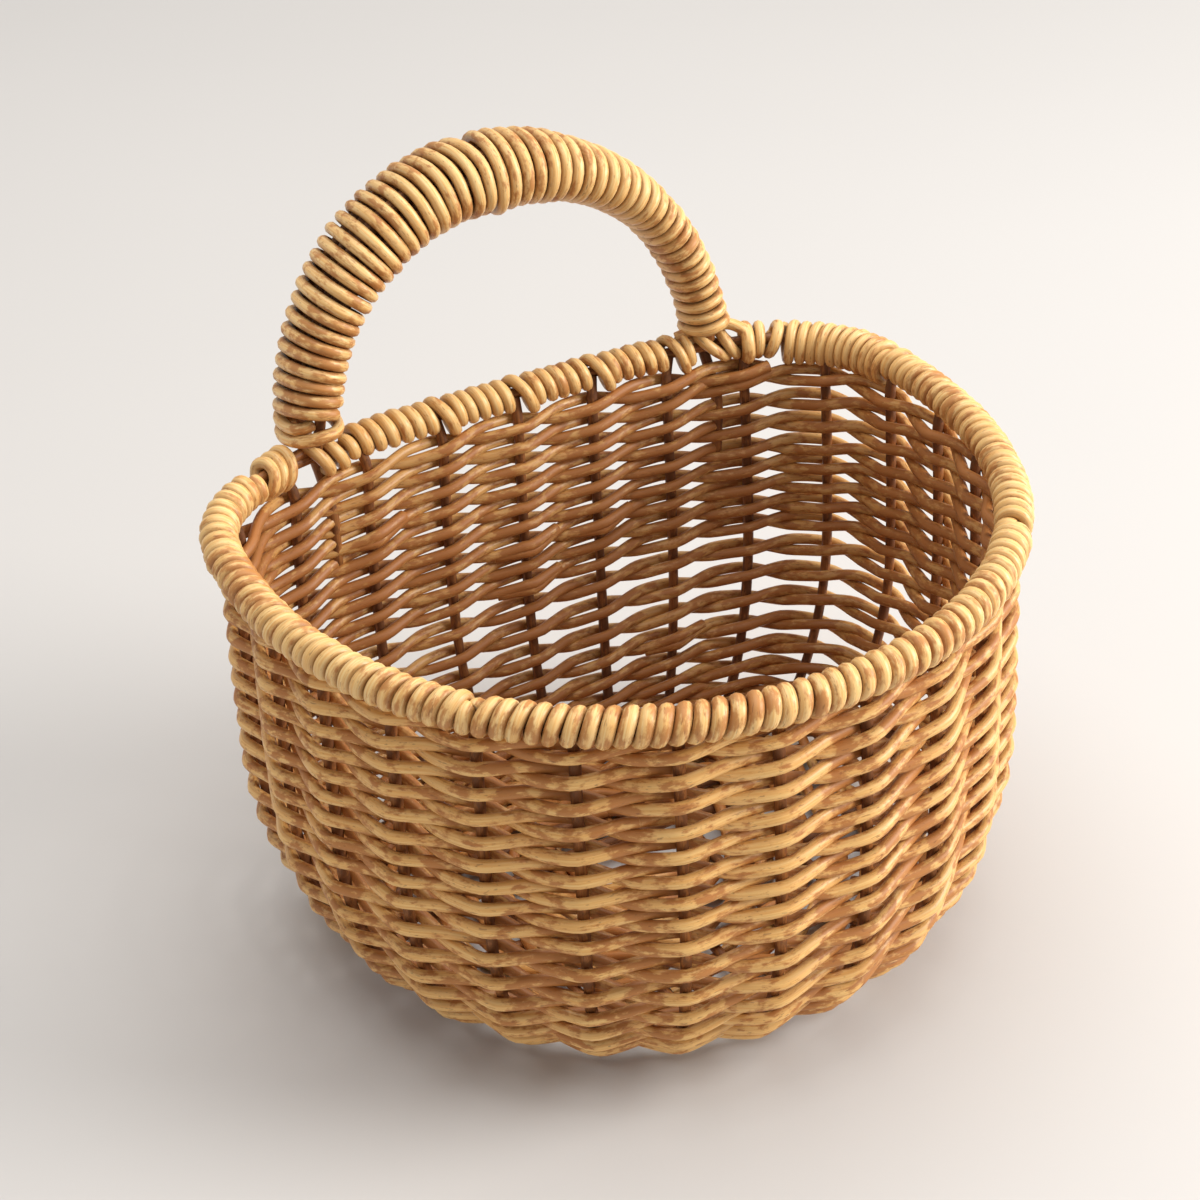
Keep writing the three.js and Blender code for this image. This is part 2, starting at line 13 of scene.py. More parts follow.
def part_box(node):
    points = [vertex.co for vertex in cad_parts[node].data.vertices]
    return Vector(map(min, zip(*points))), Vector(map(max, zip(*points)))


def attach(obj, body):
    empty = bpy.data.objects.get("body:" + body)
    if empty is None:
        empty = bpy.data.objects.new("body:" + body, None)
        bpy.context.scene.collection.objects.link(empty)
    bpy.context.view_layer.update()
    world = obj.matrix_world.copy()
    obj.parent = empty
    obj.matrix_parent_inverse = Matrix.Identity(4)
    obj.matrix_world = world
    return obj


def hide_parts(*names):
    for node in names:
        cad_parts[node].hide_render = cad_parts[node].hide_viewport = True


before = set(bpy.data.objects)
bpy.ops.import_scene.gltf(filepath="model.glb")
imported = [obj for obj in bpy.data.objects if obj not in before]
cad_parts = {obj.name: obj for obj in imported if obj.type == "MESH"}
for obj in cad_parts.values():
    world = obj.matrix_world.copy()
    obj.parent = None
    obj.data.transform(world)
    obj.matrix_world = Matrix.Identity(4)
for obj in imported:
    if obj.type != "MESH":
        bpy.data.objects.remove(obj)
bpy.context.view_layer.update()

MM = 0.001

# Sizes of the rim, read from the frame where it has them
HOOP_RADIUS = 1.4 * MM
RIM_FRONT_DEPTH = 96.6 * MM
RIM_BACK_DEPTH = 50.2 * MM
FRONT_POWER = 2.08
BACK_POWER = 3.32
hoop_low, hoop_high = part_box("rim_hoop")
RIM_HALF_WIDTH = hoop_high.x - HOOP_RADIUS
RIM_HEIGHT = (hoop_low.z + hoop_high.z) / 2
PLAN_Y = hoop_low.y + HOOP_RADIUS + RIM_FRONT_DEPTH

# Basket body: the surface through the stakes' centres
STAKES = 25
BELLY_HEIGHT = 55 * MM
INSET_AT_RIM = 2.4 * MM
INSET_AT_BELLY = 0.8 * MM
BASE_HALF_WIDTH = 64 * MM
BASE_FRONT_DEPTH = 69 * MM
BASE_BACK_DEPTH = 36 * MM
BASE_TURN = math.radians(80)
BASE_MIDDLE = 4.5 * MM

# Rattan core
STAKE_RADIUS = 1.3 * MM
WEAVER_RADIUS = 1.45 * MM
BINDING_RADIUS = 1.5 * MM
HANDLE_WRAP_RADIUS = 1.45 * MM
CANE_RADIUS = 1.4 * MM
STICK_RADIUS = 1.4 * MM
SIDES = 10

# Handmade variation of a strand: how far apart along it, and how much
SHORT_SWELL = (9 * MM, 0.045)
LONG_SWELL = (31 * MM, 0.03)
OVAL_SHARE = 0.035
OVAL_TURNING = (23 * MM, 3)

# A strand's cut ends, the length left between two strands' fibres, and how smooth and taut curves are
END_BEVEL = 0.22 * MM
END_FACE_SHARE = 0.84
STRAND_GAP = 40 * MM
CURVE_STEPS = 24
TAUTNESS = 0.96

# Painted shade: how dark a strand's flanks and underside get, and how dark each kind of strand's crevices
# are
FLANK_START = 0.3
UNDERSIDE_START = 0.2
UNDERSIDE_SHADE = 1.6
WEAVER_CREVICE_SHADE = 0.3
STAKE_CREVICE_SHADE = 0.2
HOOP_CREVICE_SHADE = 0.1
CANE_CREVICE_SHADE = 0.25
FOOT_CREVICE_SHADE = 0.4
LOOP_CREVICE_SHADE = 0.6
BINDING_CREVICE_SHADE = 0.7
WRAP_CREVICE_SHADE = 0.75

# Weave: how far a weaver stands off the stakes and climbs past its partner, and the rows' spacing
WEAVE_REACH = STAKE_RADIUS + WEAVER_RADIUS - 0.1 * MM
WEAVE_CLIMB = 1.45 * MM
ROW_PITCH = 5.8 * MM
TOP_ROW_HEIGHT = 103.5 * MM
WEAVE_TOP_STAKE = -3.3
WEAVE_STEPS = 12
BACK_STAKES = 6
BACK_DROP_SHARE = 0.25
STEP_STAKES = 2.6
STEP_END_STAKES = 24.8
EVEN_ROUNDS = 5
RAISED_ROUNDS = 3
RAISED_SHARE = 0.56
RAISED_DECAY = 0.55
RAISED_BEFORE = 2.7
RAISED_AFTER = 2.0

# Unevenness of the weave: how far apart along it, and how much
ROW_DRIFT = (60 * MM, 0.5 * MM)
ROW_JITTER = (17 * MM, 0.28 * MM)
REACH_SWAY = (40 * MM, 0.05)
DRIFT_SHIFT = 3 * MM

# Joins in a weaver: how many, and in stakes how far they scatter, overlap and spread
JOINS = 5
JOIN_SCATTER = 18
JOIN_OVERLAP = 0.42
JOIN_SPREAD = 0.75
JOIN_PULL = 1.1 * MM
JOIN_STEP = 0.9 * MM

# First seed of each kind of piece's variation
DRIFT_SEED = 11
JOIN_SEED = 40
WEAVER_SEED = 100
STAKE_SEED = 300
STICK_SEED = 500
BASE_WEAVE_SEED = 600
HOOP_SEED = 700
LAP_SEED = 705
BACK_WINDING_SEED = 720
RIM_WINDING_SEED = 730
RIGHT_LOOP_SEED = 770
CANE_SEED = 800
LEFT_WRAP_SEED = 820
RIGHT_WRAP_SEED = 830
PACKING_SEED = 840
LEFT_RING_SEED = 851
LEFT_TAIL_SEED = 854
RIGHT_RING_SEED = 856
LEFT_LOOP_SEED = 860

# Camera, matched to the photograph
VIEW_TURN = math.radians(-25.62)
VIEW_FALL = math.radians(33)
VIEW_ROLL = math.radians(-3)
VIEW_DISTANCE = 550.74 * MM
VIEW_RIGHT = -1.6 * MM
VIEW_RISE = -27.12 * MM
LENS = 72

# Light and floor
STUDIO_MIDDLE = (0, 0, 0.07)
LAMPS = {
    "window": {"place": (1.05, -0.62, 0.66), "size": 0.7, "power": 20, "tint": (1.0, 0.972, 0.935)},
    "overhead": {"place": (0.1, 0.2, 1.5), "size": 1.6, "power": 16, "tint": (1.0, 0.985, 0.965)},
}
SKY_STRENGTH = 0.6
FLOOR_HALF_WIDTH = 3.0


# Smooth handmade variation

def sway(seed, run, spacing, reach):
    """A smooth seeded wander along run, changing about every spacing and staying within reach."""
    knots = int(np.max(run) / spacing) + 3
    values = np.random.default_rng(seed).uniform(-reach, reach, knots)
    place = np.clip(np.asarray(run) / spacing, 0, knots - 1.001)
    index = place.astype(int)
    share = place - index
    share = share * share * (3 - 2 * share)
    return values[index] * (1 - share) + values[index + 1] * share


def taut(phase):
    """A cosine pulled nearly straight between its turns, as a strand is between two stakes."""
    return np.arcsin(TAUTNESS * np.cos(phase)) / math.asin(TAUTNESS)


def unit(vectors):
    """The vectors at length 1."""
    return vectors / np.linalg.norm(vectors, axis=-1, keepdims=True)


def curve_at(a, b, c, d, t):
    """A Catmull-Rom curve from b to c, at the share t of the way."""
    return 0.5 * (2 * b + (c - a) * t + (2 * a - 5 * b + 4 * c - d) * t ** 2
                  + (3 * b - a - 3 * c + d) * t ** 3)


def along_outline(x, y):
    """The distance of each point along a flat outline from its first."""
    return np.concatenate([[0], np.cumsum(np.hypot(np.diff(x), np.diff(y)))])


def along_path(points):
    """The distance of each point along a path from its first."""
    gaps = np.linalg.norm(np.diff(points, axis=0), axis=1)
    return np.concatenate([[0], np.cumsum(gaps)])


def smooth_path(points, step):
    """Evenly spaced points on a curve through a few chosen ones."""
    points = np.asarray(points, float)
    padded = np.vstack([2 * points[0] - points[1], points, 2 * points[-1] - points[-2]])
    fine = []
    for a, b, c, d in zip(padded, padded[1:], padded[2:], padded[3:]):
        for t in np.linspace(0, 1, CURVE_STEPS, endpoint=False):
            fine.append(curve_at(a, b, c, d, t))
    fine = np.array([*fine, points[-1]])
    run = along_path(fine)
    places = np.linspace(0, run[-1], max(int(run[-1] / step), 4) + 1)
    return np.stack([np.interp(places, run, fine[:, k]) for k in range(points.shape[1])], 1)


# Round strands as meshes, and how their strips and cut ends lie in the flat map
STRIP_SPARE = 1.02
STRIP_SLACK = 3 * MM
STRIP_MARGIN = 0.06
STRIP_INSET = 0.004
STRIP_FILL = 0.98
BEVEL_REACH = 0.48
FACE_REACH = 0.4


class Bundle:
    """Gathers strands into one mesh with the attributes that the rattan finish reads."""

    def __init__(self):
        self.points, self.fibre, self.recess, self.inside = [], [], [], []
        self.faces, self.caps, self.strips = [], [], []
        self.count = 0
        self.run = 0.0

    def strand(self, path, out, radius, seed, crevice_shade, width=1.0, inside=0.0, ends=(True, True)):
        """Adds a strand along path. out is the direction that its outer side faces at each point.

        The crevice value is how dark the painted shade on its flanks and underside is, width stretches the
        section across out, and the inside value is how far each point lies on the basket's inner face,
        which is painted darker and browner: painted shade together with deeper stain.
        """
        path = np.asarray(path, float)
        steps = len(path)
        tangent = unit(np.gradient(path, axis=0))
        out = np.broadcast_to(np.asarray(out, float), path.shape)
        out = unit(out - (out * tangent).sum(1, keepdims=True) * tangent)
        side = np.cross(tangent, out)
        run = along_path(path)
        angle = 2 * math.pi * np.arange(SIDES) / SIDES
        swell = 1 + sway(seed, run, *SHORT_SWELL) + sway(seed + 1, run, *LONG_SWELL)
        turning = sway(seed + 2, run, *OVAL_TURNING)
        oval = OVAL_SHARE * np.cos(2 * (angle[None] + turning[:, None]))
        reach = (np.broadcast_to(radius, steps) * swell)[:, None] * (1 + oval)
        wide = reach * np.broadcast_to(width, steps)[:, None]
        ring = (path[:, None] + out[:, None] * (reach * np.cos(angle))[..., None]
                + side[:, None] * (wide * np.sin(angle))[..., None])
        start = self.count
        self.points.append(ring.reshape(-1, 3))
        along = np.broadcast_to((self.run + run)[:, None], (steps, SIDES))
        across = reach * np.cos(angle)
        level = reach * np.sin(angle)
        self.fibre.append(np.stack([along, across, level], -1).reshape(-1, 3))
        # Painted shade: the flanks, where a strand meets its neighbours, and its underside are darkened
        flank_shade = np.clip(np.abs(np.sin(angle)) * (1 + FLANK_START) - FLANK_START, 0, 1) ** 2 * crevice_shade
        under = np.clip(-np.cos(angle) + UNDERSIDE_START, 0, 1) * crevice_shade * UNDERSIDE_SHADE
        shade = np.broadcast_to(np.maximum(flank_shade, under), (steps, SIDES))
        self.recess.append(np.clip(shade, 0, 1).ravel())
        self.inside.append(np.broadcast_to(np.reshape(inside, (-1, 1)), (steps, SIDES)).ravel())
        ids = start + np.arange(steps * SIDES).reshape(steps, SIDES)
        here, after = ids[:-1], ids[1:]
        quads = np.stack([here, np.roll(here, -1, 1), np.roll(after, -1, 1), after], -1)
        self.faces.append(quads.reshape(-1, 4))
        self.strips.append(self.run + run)
        self.count += steps * SIDES
        for end, sign in ((0, -1), (-1, 1)):
            if ends[end]:
                self._cap(path[end], ring[end], tangent[end] * sign, ids[end], sign)
        self.run += run[-1] + STRAND_GAP
        return self

    def _cap(self, centre, ring, away, ids, sign):
        """A cut end: a small bevel and a flat face of pith."""
        inner = centre + (ring - centre) * END_FACE_SHARE + away * END_BEVEL
        points = np.vstack([inner, centre + away * END_BEVEL])
        low = self.count
        self.points.append(points)
        places = np.vstack([(inner - centre), [[0, 0, 0]]])
        across = unit(ring[0] - centre)
        up = np.cross(away, across)
        along = np.full(SIDES + 1, self.run)
        self.fibre.append(np.stack([along, places @ across, places @ up], -1))
        self.recess.append(np.zeros(SIDES + 1))
        self.inside.append(np.zeros(SIDES + 1))
        self.count += SIDES + 1
        rim = low + np.arange(SIDES)
        quads = np.stack([ids, np.roll(ids, -1), np.roll(rim, -1), rim], -1)
        fans = np.stack([rim, np.roll(rim, -1), np.full(SIDES, low + SIDES)], -1)
        self.caps.append((quads[:, ::sign], fans[:, ::sign]))

    def make(self, name, finish, slot_name, *nodes):
        """Makes the piece, which rides on the basket's one body and stands for the named nodes."""
        points = np.concatenate(self.points)
        walls = np.concatenate(self.faces)
        bevels = [quads for quads, _ in self.caps]
        fans = [fan for _, fan in self.caps]
        quads = np.concatenate([walls, *bevels])
        fans = np.concatenate(fans) if fans else np.zeros((0, 3), int)
        mesh = bpy.data.meshes.new(name)
        mesh.from_pydata(points.tolist(), [], quads.tolist() + fans.tolist())
        smooth = np.zeros(len(mesh.polygons), bool)
        smooth[:len(quads)] = True
        mesh.polygons.foreach_set("use_smooth", smooth)
        skins = np.zeros(len(mesh.polygons), np.int32)
        skins[len(quads):] = 1
        mesh.polygons.foreach_set("material_index", skins)
        vectors = np.concatenate(self.fibre).astype(np.float32)
        fibre = mesh.attributes.new("fibre", "FLOAT_VECTOR", "POINT")
        fibre.data.foreach_set("vector", vectors.ravel())
        for label, rows in (("recess", self.recess), ("inside", self.inside)):
            values = np.concatenate(rows).astype(np.float32)
            mesh.attributes.new(label, "FLOAT", "POINT").data.foreach_set("value", values)
        mesh.materials.append(finish)
        mesh.materials.append(finishes["cut_end"])
        self._unwrap(mesh)
        piece = bpy.data.objects.new(name, mesh)
        bpy.context.scene.collection.objects.link(piece)
        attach(piece, "root")
        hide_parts(*nodes)

    def _unwrap(self, mesh):
        """Lays the strands out as rows of even strips, and the cut ends in a row of their own."""
        length = sum(run[-1] - run[0] for run in self.strips)
        girth = 2 * math.pi * WEAVER_RADIUS
        rows = max(int(math.sqrt(length / girth)) + 1, 1)
        strip = length / rows * STRIP_SPARE + STRIP_SLACK
        u, v, passed = [], [], 0.0
        corner = np.array([0, 0, 1, 1])
        for run in self.strips:
            local = passed + run - run[0]
            row = (local[:-1] / strip).astype(int)
            ends = np.stack([local[:-1], local[1:]], 1) - (row * strip)[:, None]
            share = STRIP_INSET + (1 - 2 * STRIP_INSET) * ends / strip * STRIP_FILL
            u.append(np.broadcast_to(share[:, corner][:, None], (len(row), SIDES, 4)).reshape(-1))
            turn = (np.arange(SIDES)[:, None] + np.array([0, 1, 1, 0])) / SIDES
            height = row[:, None, None] + STRIP_MARGIN + (1 - 2 * STRIP_MARGIN) * turn[None]
            v.append(height.reshape(-1))
            passed += run[-1] - run[0]
        u, v = np.concatenate(u), np.concatenate(v)
        rows = int(v.max()) + 2
        ends = max(len(self.caps), 1)
        cell = min(1 / ends, 1 / rows)
        turn = 2 * math.pi * np.arange(SIDES + 1) / SIDES
        bevel_u, bevel_v, fan_u, fan_v = [], [], [], []
        for k in range(len(self.caps)):
            x, y = (k + 0.5) / ends, rows - 0.5
            for j in range(SIDES):
                here, after = turn[j], turn[j + 1]
                turns = [here, after, after, here]
                reaches = [BEVEL_REACH, BEVEL_REACH, FACE_REACH, FACE_REACH]
                bevel_u += [x + cell * r * math.cos(t) for t, r in zip(turns, reaches)]
                bevel_v += [y + cell * rows * r * math.sin(t) for t, r in zip(turns, reaches)]
                fan_u += [x + cell * FACE_REACH * math.cos(t) for t in (here, after)] + [x]
                fan_v += [y + cell * rows * FACE_REACH * math.sin(t) for t in (here, after)] + [y]
        across = np.concatenate([u, bevel_u, fan_u])
        flat = np.stack([across, np.concatenate([v, bevel_v, fan_v]) / rows], 1)
        layer = mesh.uv_layers.new(name="OFBake")
        layer.uv.foreach_set("vector", flat.astype(np.float32).ravel())


# Finishes: the cells to the metre of each noise on its three axes, its detail and its roughness
STREAK_NOISE = ((70, 2300, 2300), 3.0, 0.6)
MOTTLE_NOISE = ((260, 620, 620), 5.0, 0.62)
NICK_NOISE = ((520, 1900, 1900), 2.0, 0.5)
BROAD_STAIN_NOISE = ((34, 34, 34), 2.0, 0.5)
PATCHY_STAIN_NOISE = ((140, 140, 140), 3.0, 0.55)
PITH_NOISE = ((0, 900, 900), 3.0, 0.6)
PAPER_NOISE = ((3, 3, 3), 3.0, 0.5)
PORE_CELLS = (0, 4200, 4200)

# From which level of its noise a nick, stain, tan streak or pore starts, and where it is full
NICK_EDGE = (0.63, 0.72)
STAIN_EDGE = (0.45, 0.61)
TAN_EDGE = (0.3, 0.7)
PORE_EDGE = (0.34, 0.16)

# How much each effect covers, raises or roughens. The inside ones paint shade together with stain on the
# inner face, and the crevice and pore ones paint shade
STREAK_HEIGHT = 0.6
MOTTLE_HEIGHT = 0.5
NICK_DEPTH = 0.25
BROAD_STAIN_SHARE = 0.55
PATCHY_STAIN_SHARE = 0.5
INSIDE_STAIN_AND_SHADE = 0.16
INSIDE_SHADE_AND_STAIN = 0.28
STAIN_COVER = 0.85
STAIN_ROUGHNESS = 0.12
NICK_COVER = 0.45
CREVICE_SHADE_COVER = 0.75
FIBRE_HEIGHT = 0.12 * MM
PORE_SHADE_COVER = 0.7
PORE_DEPTH = 0.1 * MM
PORE_STRENGTH = 0.6
PITH_ROUGHNESS = 0.6
PITH_UNEVENNESS = 0.2
RATTAN_IOR = 1.48
POLISH = 0.12
POLISH_ROUGHNESS = 0.4
PAPER_ROUGHNESS = 0.85


def colour(red, green, blue):
    """A linear colour from sRGB values of 0 to 255."""
    shares = [value / 255 for value in (red, green, blue)]
    linear = [s / 12.92 if s <= 0.04045 else ((s + 0.055) / 1.055) ** 2.4 for s in shares]
    return (*linear, 1.0)


def node(tree, kind, inputs=(), **settings):
    """A node with its settings and its inputs: a socket is linked and anything else is its value."""
    made = tree.nodes.new(kind)
    for name, value in settings.items():
        setattr(made, name, value)
    for name, value in dict(inputs).items():
        if isinstance(value, bpy.types.NodeSocket):
            tree.links.new(value, made.inputs[name])
        else:
            made.inputs[name].default_value = value
    return made


def maths(tree, operation, a, b=0.0, clamp=False):
    """One sum on values that change over the surface."""
    made = node(tree, "ShaderNodeMath", {0: a, 1: b}, operation=operation, use_clamp=clamp)
    return made.outputs[0]


def between(tree, value, low, high):
    """0 at low, 1 at high and smooth between them, whichever of the two is larger."""
    made = node(tree, "ShaderNodeMapRange", {"Value": value, "From Min": low, "From Max": high},
                interpolation_type="SMOOTHSTEP")
    return made.outputs["Result"]


def mixed(tree, factor, a, b):
    """Colour a where factor is 0 and b where it is 1."""
    return node(tree, "ShaderNodeMix", {0: factor, 6: a, 7: b}, data_type="RGBA").outputs[2]


def stretched(tree, vector, cells):
    """A vector counted in cells."""
    return node(tree, "ShaderNodeVectorMath", {0: vector, 1: cells}, operation="MULTIPLY").outputs[0]


def noise(tree, vector, cells, detail, roughness):
    """Cloudy noise with so many cells to the metre."""
    made = node(tree, "ShaderNodeTexNoise", {"Vector": stretched(tree, vector, cells), "Scale": 1.0,
                                             "Detail": detail, "Roughness": roughness})
    return made.outputs["Fac"]


def new_group(name, inputs, outputs):
    """An empty shader group with its named sockets, and its input and output nodes."""
    group = bpy.data.node_groups.new(name, "ShaderNodeTree")
    for label, kind in inputs:
        group.interface.new_socket(label, in_out="INPUT", socket_type=kind)
    for label, kind in outputs:
        group.interface.new_socket(label, in_out="OUTPUT", socket_type=kind)
    return group, group.nodes.new("NodeGroupInput").outputs, group.nodes.new("NodeGroupOutput").inputs


def cane_fibre_group():
    """Fine streaks, brown mottling and small nicks along a strand, whose length is the first axis."""
    group, given, result = new_group(
        "cane_fibre",
        [("Fibre", "NodeSocketVector")],
        [("Streak", "NodeSocketFloat"), ("Mottle", "NodeSocketFloat"), ("Nick", "NodeSocketFloat"),
         ("Height", "NodeSocketFloat")],
    )
    fibre = given["Fibre"]
    streak = noise(group, fibre, *STREAK_NOISE)
    mottle = noise(group, fibre, *MOTTLE_NOISE)
    nick = noise(group, fibre, *NICK_NOISE)
    group.links.new(streak, result["Streak"])
    group.links.new(mottle, result["Mottle"])
    group.links.new(between(group, nick, *NICK_EDGE), result["Nick"])
    ridges = maths(group, "MULTIPLY", streak, STREAK_HEIGHT)
    height = maths(group, "ADD", ridges, maths(group, "MULTIPLY", mottle, MOTTLE_HEIGHT))
    dented = maths(group, "SUBTRACT", height, maths(group, "MULTIPLY", nick, NICK_DEPTH))
    group.links.new(dented, result["Height"])
    return group


def brushed_stain_group():
    """Where brown stain was brushed on: broad patches over the basket, broken up by the mottling."""
    group, given, result = new_group(
        "brushed_stain",
        [("Mottle", "NodeSocketFloat"), ("Amount", "NodeSocketFloat")],
        [("Stain", "NodeSocketFloat")],
    )
    place = node(group, "ShaderNodeTexCoord").outputs["Object"]
    broad = noise(group, place, *BROAD_STAIN_NOISE)
    patchy = noise(group, place, *PATCHY_STAIN_NOISE)
    lift = maths(group, "MULTIPLY", maths(group, "SUBTRACT", broad, 0.5), BROAD_STAIN_SHARE)
    spots = maths(group, "MULTIPLY", maths(group, "SUBTRACT", patchy, 0.5), PATCHY_STAIN_SHARE)
    lift = maths(group, "ADD", lift, spots)
    level = maths(group, "ADD", maths(group, "ADD", given["Mottle"], lift), given["Amount"])
    group.links.new(between(group, level, *STAIN_EDGE), result["Stain"])
    return group


groups = {"fibre": cane_fibre_group(), "stain": brushed_stain_group()}


def new_finish(name):
    """An empty material, its node tree and the strands' own directions in it."""
    finish = bpy.data.materials.new(name)
    finish.use_nodes = True
    tree = finish.node_tree
    tree.nodes.clear()
    fibre = node(tree, "ShaderNodeAttribute", attribute_name="fibre").outputs["Vector"]
    return finish, tree, fibre


def lay_on(tree, shader):
    """Puts the shader on the surface."""
    output = node(tree, "ShaderNodeOutputMaterial")
    tree.links.new(shader.outputs["BSDF"], output.inputs["Surface"])


def rattan(name, pale, tan, stain, dark, amount, roughness, depth):
    """Round core of one shade. amount is how much stain it took, and depth how far its fibre stands out."""
    finish, tree, fibre = new_finish(name)
    recess = node(tree, "ShaderNodeAttribute", attribute_name="recess").outputs["Fac"]
    inside = node(tree, "ShaderNodeAttribute", attribute_name="inside").outputs["Fac"]
    grain = node(tree, "ShaderNodeGroup", node_tree=groups["fibre"])
    tree.links.new(fibre, grain.inputs["Fibre"])
    dyed = node(tree, "ShaderNodeGroup", node_tree=groups["stain"])
    # The basket's inner face takes more stain and a browner tone: painted shade together with deeper stain
    more = maths(tree, "ADD", maths(tree, "MULTIPLY", inside, INSIDE_STAIN_AND_SHADE), amount)
    tree.links.new(grain.outputs["Mottle"], dyed.inputs["Mottle"])
    tree.links.new(more, dyed.inputs["Amount"])
    body = mixed(tree, between(tree, grain.outputs["Streak"], *TAN_EDGE), pale, tan)
    brushed = mixed(tree, maths(tree, "MULTIPLY", dyed.outputs["Stain"], STAIN_COVER), body, stain)
    nicked = mixed(tree, maths(tree, "MULTIPLY", grain.outputs["Nick"], NICK_COVER), brushed, dark)
    inner_shaded = mixed(tree, maths(tree, "MULTIPLY", inside, INSIDE_SHADE_AND_STAIN), nicked, stain)
    # Painted shade: the crevices are darkened towards the dark colour, which also colours the nicks
    crevice_shaded = mixed(tree, maths(tree, "MULTIPLY", recess, CREVICE_SHADE_COVER, clamp=True), inner_shaded, dark)
    dull = maths(tree, "MULTIPLY", dyed.outputs["Stain"], STAIN_ROUGHNESS)
    bump = node(tree, "ShaderNodeBump", {"Strength": depth, "Distance": FIBRE_HEIGHT,
                                         "Height": grain.outputs["Height"]})
    shader = node(tree, "ShaderNodeBsdfPrincipled", {
        "Base Color": crevice_shaded,
        "Roughness": maths(tree, "ADD", dull, roughness, clamp=True),
        "Normal": bump.outputs["Normal"],
        "IOR": RATTAN_IOR,
        "Coat Weight": POLISH,
        "Coat Roughness": POLISH_ROUGHNESS,
    })
    lay_on(tree, shader)
    return finish


def pith(name):
    """The pale, porous face of a cut strand."""
    finish, tree, fibre = new_finish(name)
    pores = node(tree, "ShaderNodeTexVoronoi", {"Vector": stretched(tree, fibre, PORE_CELLS),
                                                "Scale": 1.0})
    open_pore = between(tree, pores.outputs["Distance"], *PORE_EDGE)
    cloud = noise(tree, fibre, *PITH_NOISE)
    face = mixed(tree, cloud, colour(236, 214, 172), colour(206, 170, 118))
    # Painted shade: the open pores are darkened where they are holes in the cut face
    pore_shaded = mixed(tree, maths(tree, "MULTIPLY", open_pore, PORE_SHADE_COVER), face, colour(120, 82, 44))
    uneven = maths(tree, "MULTIPLY", cloud, PITH_UNEVENNESS)
    bump = node(tree, "ShaderNodeBump", {"Strength": PORE_STRENGTH, "Distance": PORE_DEPTH,
                                         "Height": maths(tree, "SUBTRACT", 1.0, open_pore)})
    shader = node(tree, "ShaderNodeBsdfPrincipled", {
        "Base Color": pore_shaded,
        "Roughness": maths(tree, "ADD", uneven, PITH_ROUGHNESS),
        "Normal": bump.outputs["Normal"],
    })
    lay_on(tree, shader)
    return finish


finishes = {
    "weave": rattan("honey_weaver", colour(243, 200, 128), colour(226, 168, 92), colour(176, 108, 48),
                    colour(104, 56, 22), amount=-0.02, roughness=0.44, depth=0.6),
    "binding": rattan("honey_binding", colour(247, 211, 146), colour(232, 178, 104), colour(186, 120, 58),
                      colour(112, 64, 28), amount=-0.04, roughness=0.42, depth=0.6),
    "stake": rattan("brown_stake", colour(168, 108, 54), colour(138, 84, 38), colour(104, 60, 26),
                    colour(58, 30, 12), amount=0.05, roughness=0.55, depth=0.5),
    "core": rattan("brown_cane", colour(176, 116, 60), colour(146, 90, 42), colour(110, 64, 28),
                   colour(64, 34, 14), amount=0.03, roughness=0.52, depth=0.5),
    "cut_end": pith("cut_pith"),
}


# Camera, light and floor

def view_axes():
    """The camera's directions to the right, up and back."""
    back = Vector((math.sin(VIEW_TURN) * math.cos(VIEW_FALL), -math.cos(VIEW_TURN) * math.cos(VIEW_FALL),
                   math.sin(VIEW_FALL)))
    level = Vector((math.cos(VIEW_TURN), math.sin(VIEW_TURN), 0))
    rise = back.cross(level)
    right = level * math.cos(VIEW_ROLL) + rise * math.sin(VIEW_ROLL)
    return right, back.cross(right), back


def add_camera():
    """The camera, aimed from the middle of the rim's height."""
    right, rise, back = view_axes()
    aim = Vector((0, PLAN_Y, RIM_HEIGHT))
    place = aim + back * VIEW_DISTANCE + right * VIEW_RIGHT + rise * VIEW_RISE
    camera = bpy.data.objects.new("camera", bpy.data.cameras.new("camera"))
    camera.data.lens = LENS
    camera.data.clip_start = 10 * MM
    turn = Matrix((right, rise, back)).transposed().to_4x4()
    camera.matrix_world = Matrix.Translation(place) @ turn
    bpy.context.scene.collection.objects.link(camera)
    bpy.context.scene.camera = camera


def add_lamp(name, place, size, power, tint):
    """A round soft lamp that faces the basket."""
    lamp = bpy.data.lights.new(name, "AREA")
    lamp.shape = "DISK"
    lamp.size = size
    lamp.energy = power
    lamp.color = tint
    light = bpy.data.objects.new(name, lamp)
    light.location = place
    away = Vector(place) - Vector(STUDIO_MIDDLE)
    light.rotation_euler = away.to_track_quat("Z", "Y").to_euler()
    bpy.context.scene.collection.objects.link(light)


def add_studio():
    """The lamps, the pale surroundings and the floor."""
    for name, lamp in LAMPS.items():
        add_lamp(name, **lamp)
    world = bpy.data.worlds.new("studio")
    world.use_nodes = True
    sky = world.node_tree.nodes["Background"]
    sky.inputs["Color"].default_value = colour(238, 234, 230)
    sky.inputs["Strength"].default_value = SKY_STRENGTH
    bpy.context.scene.world = world
    bpy.context.scene.view_settings.view_transform = "Standard"
    add_floor()


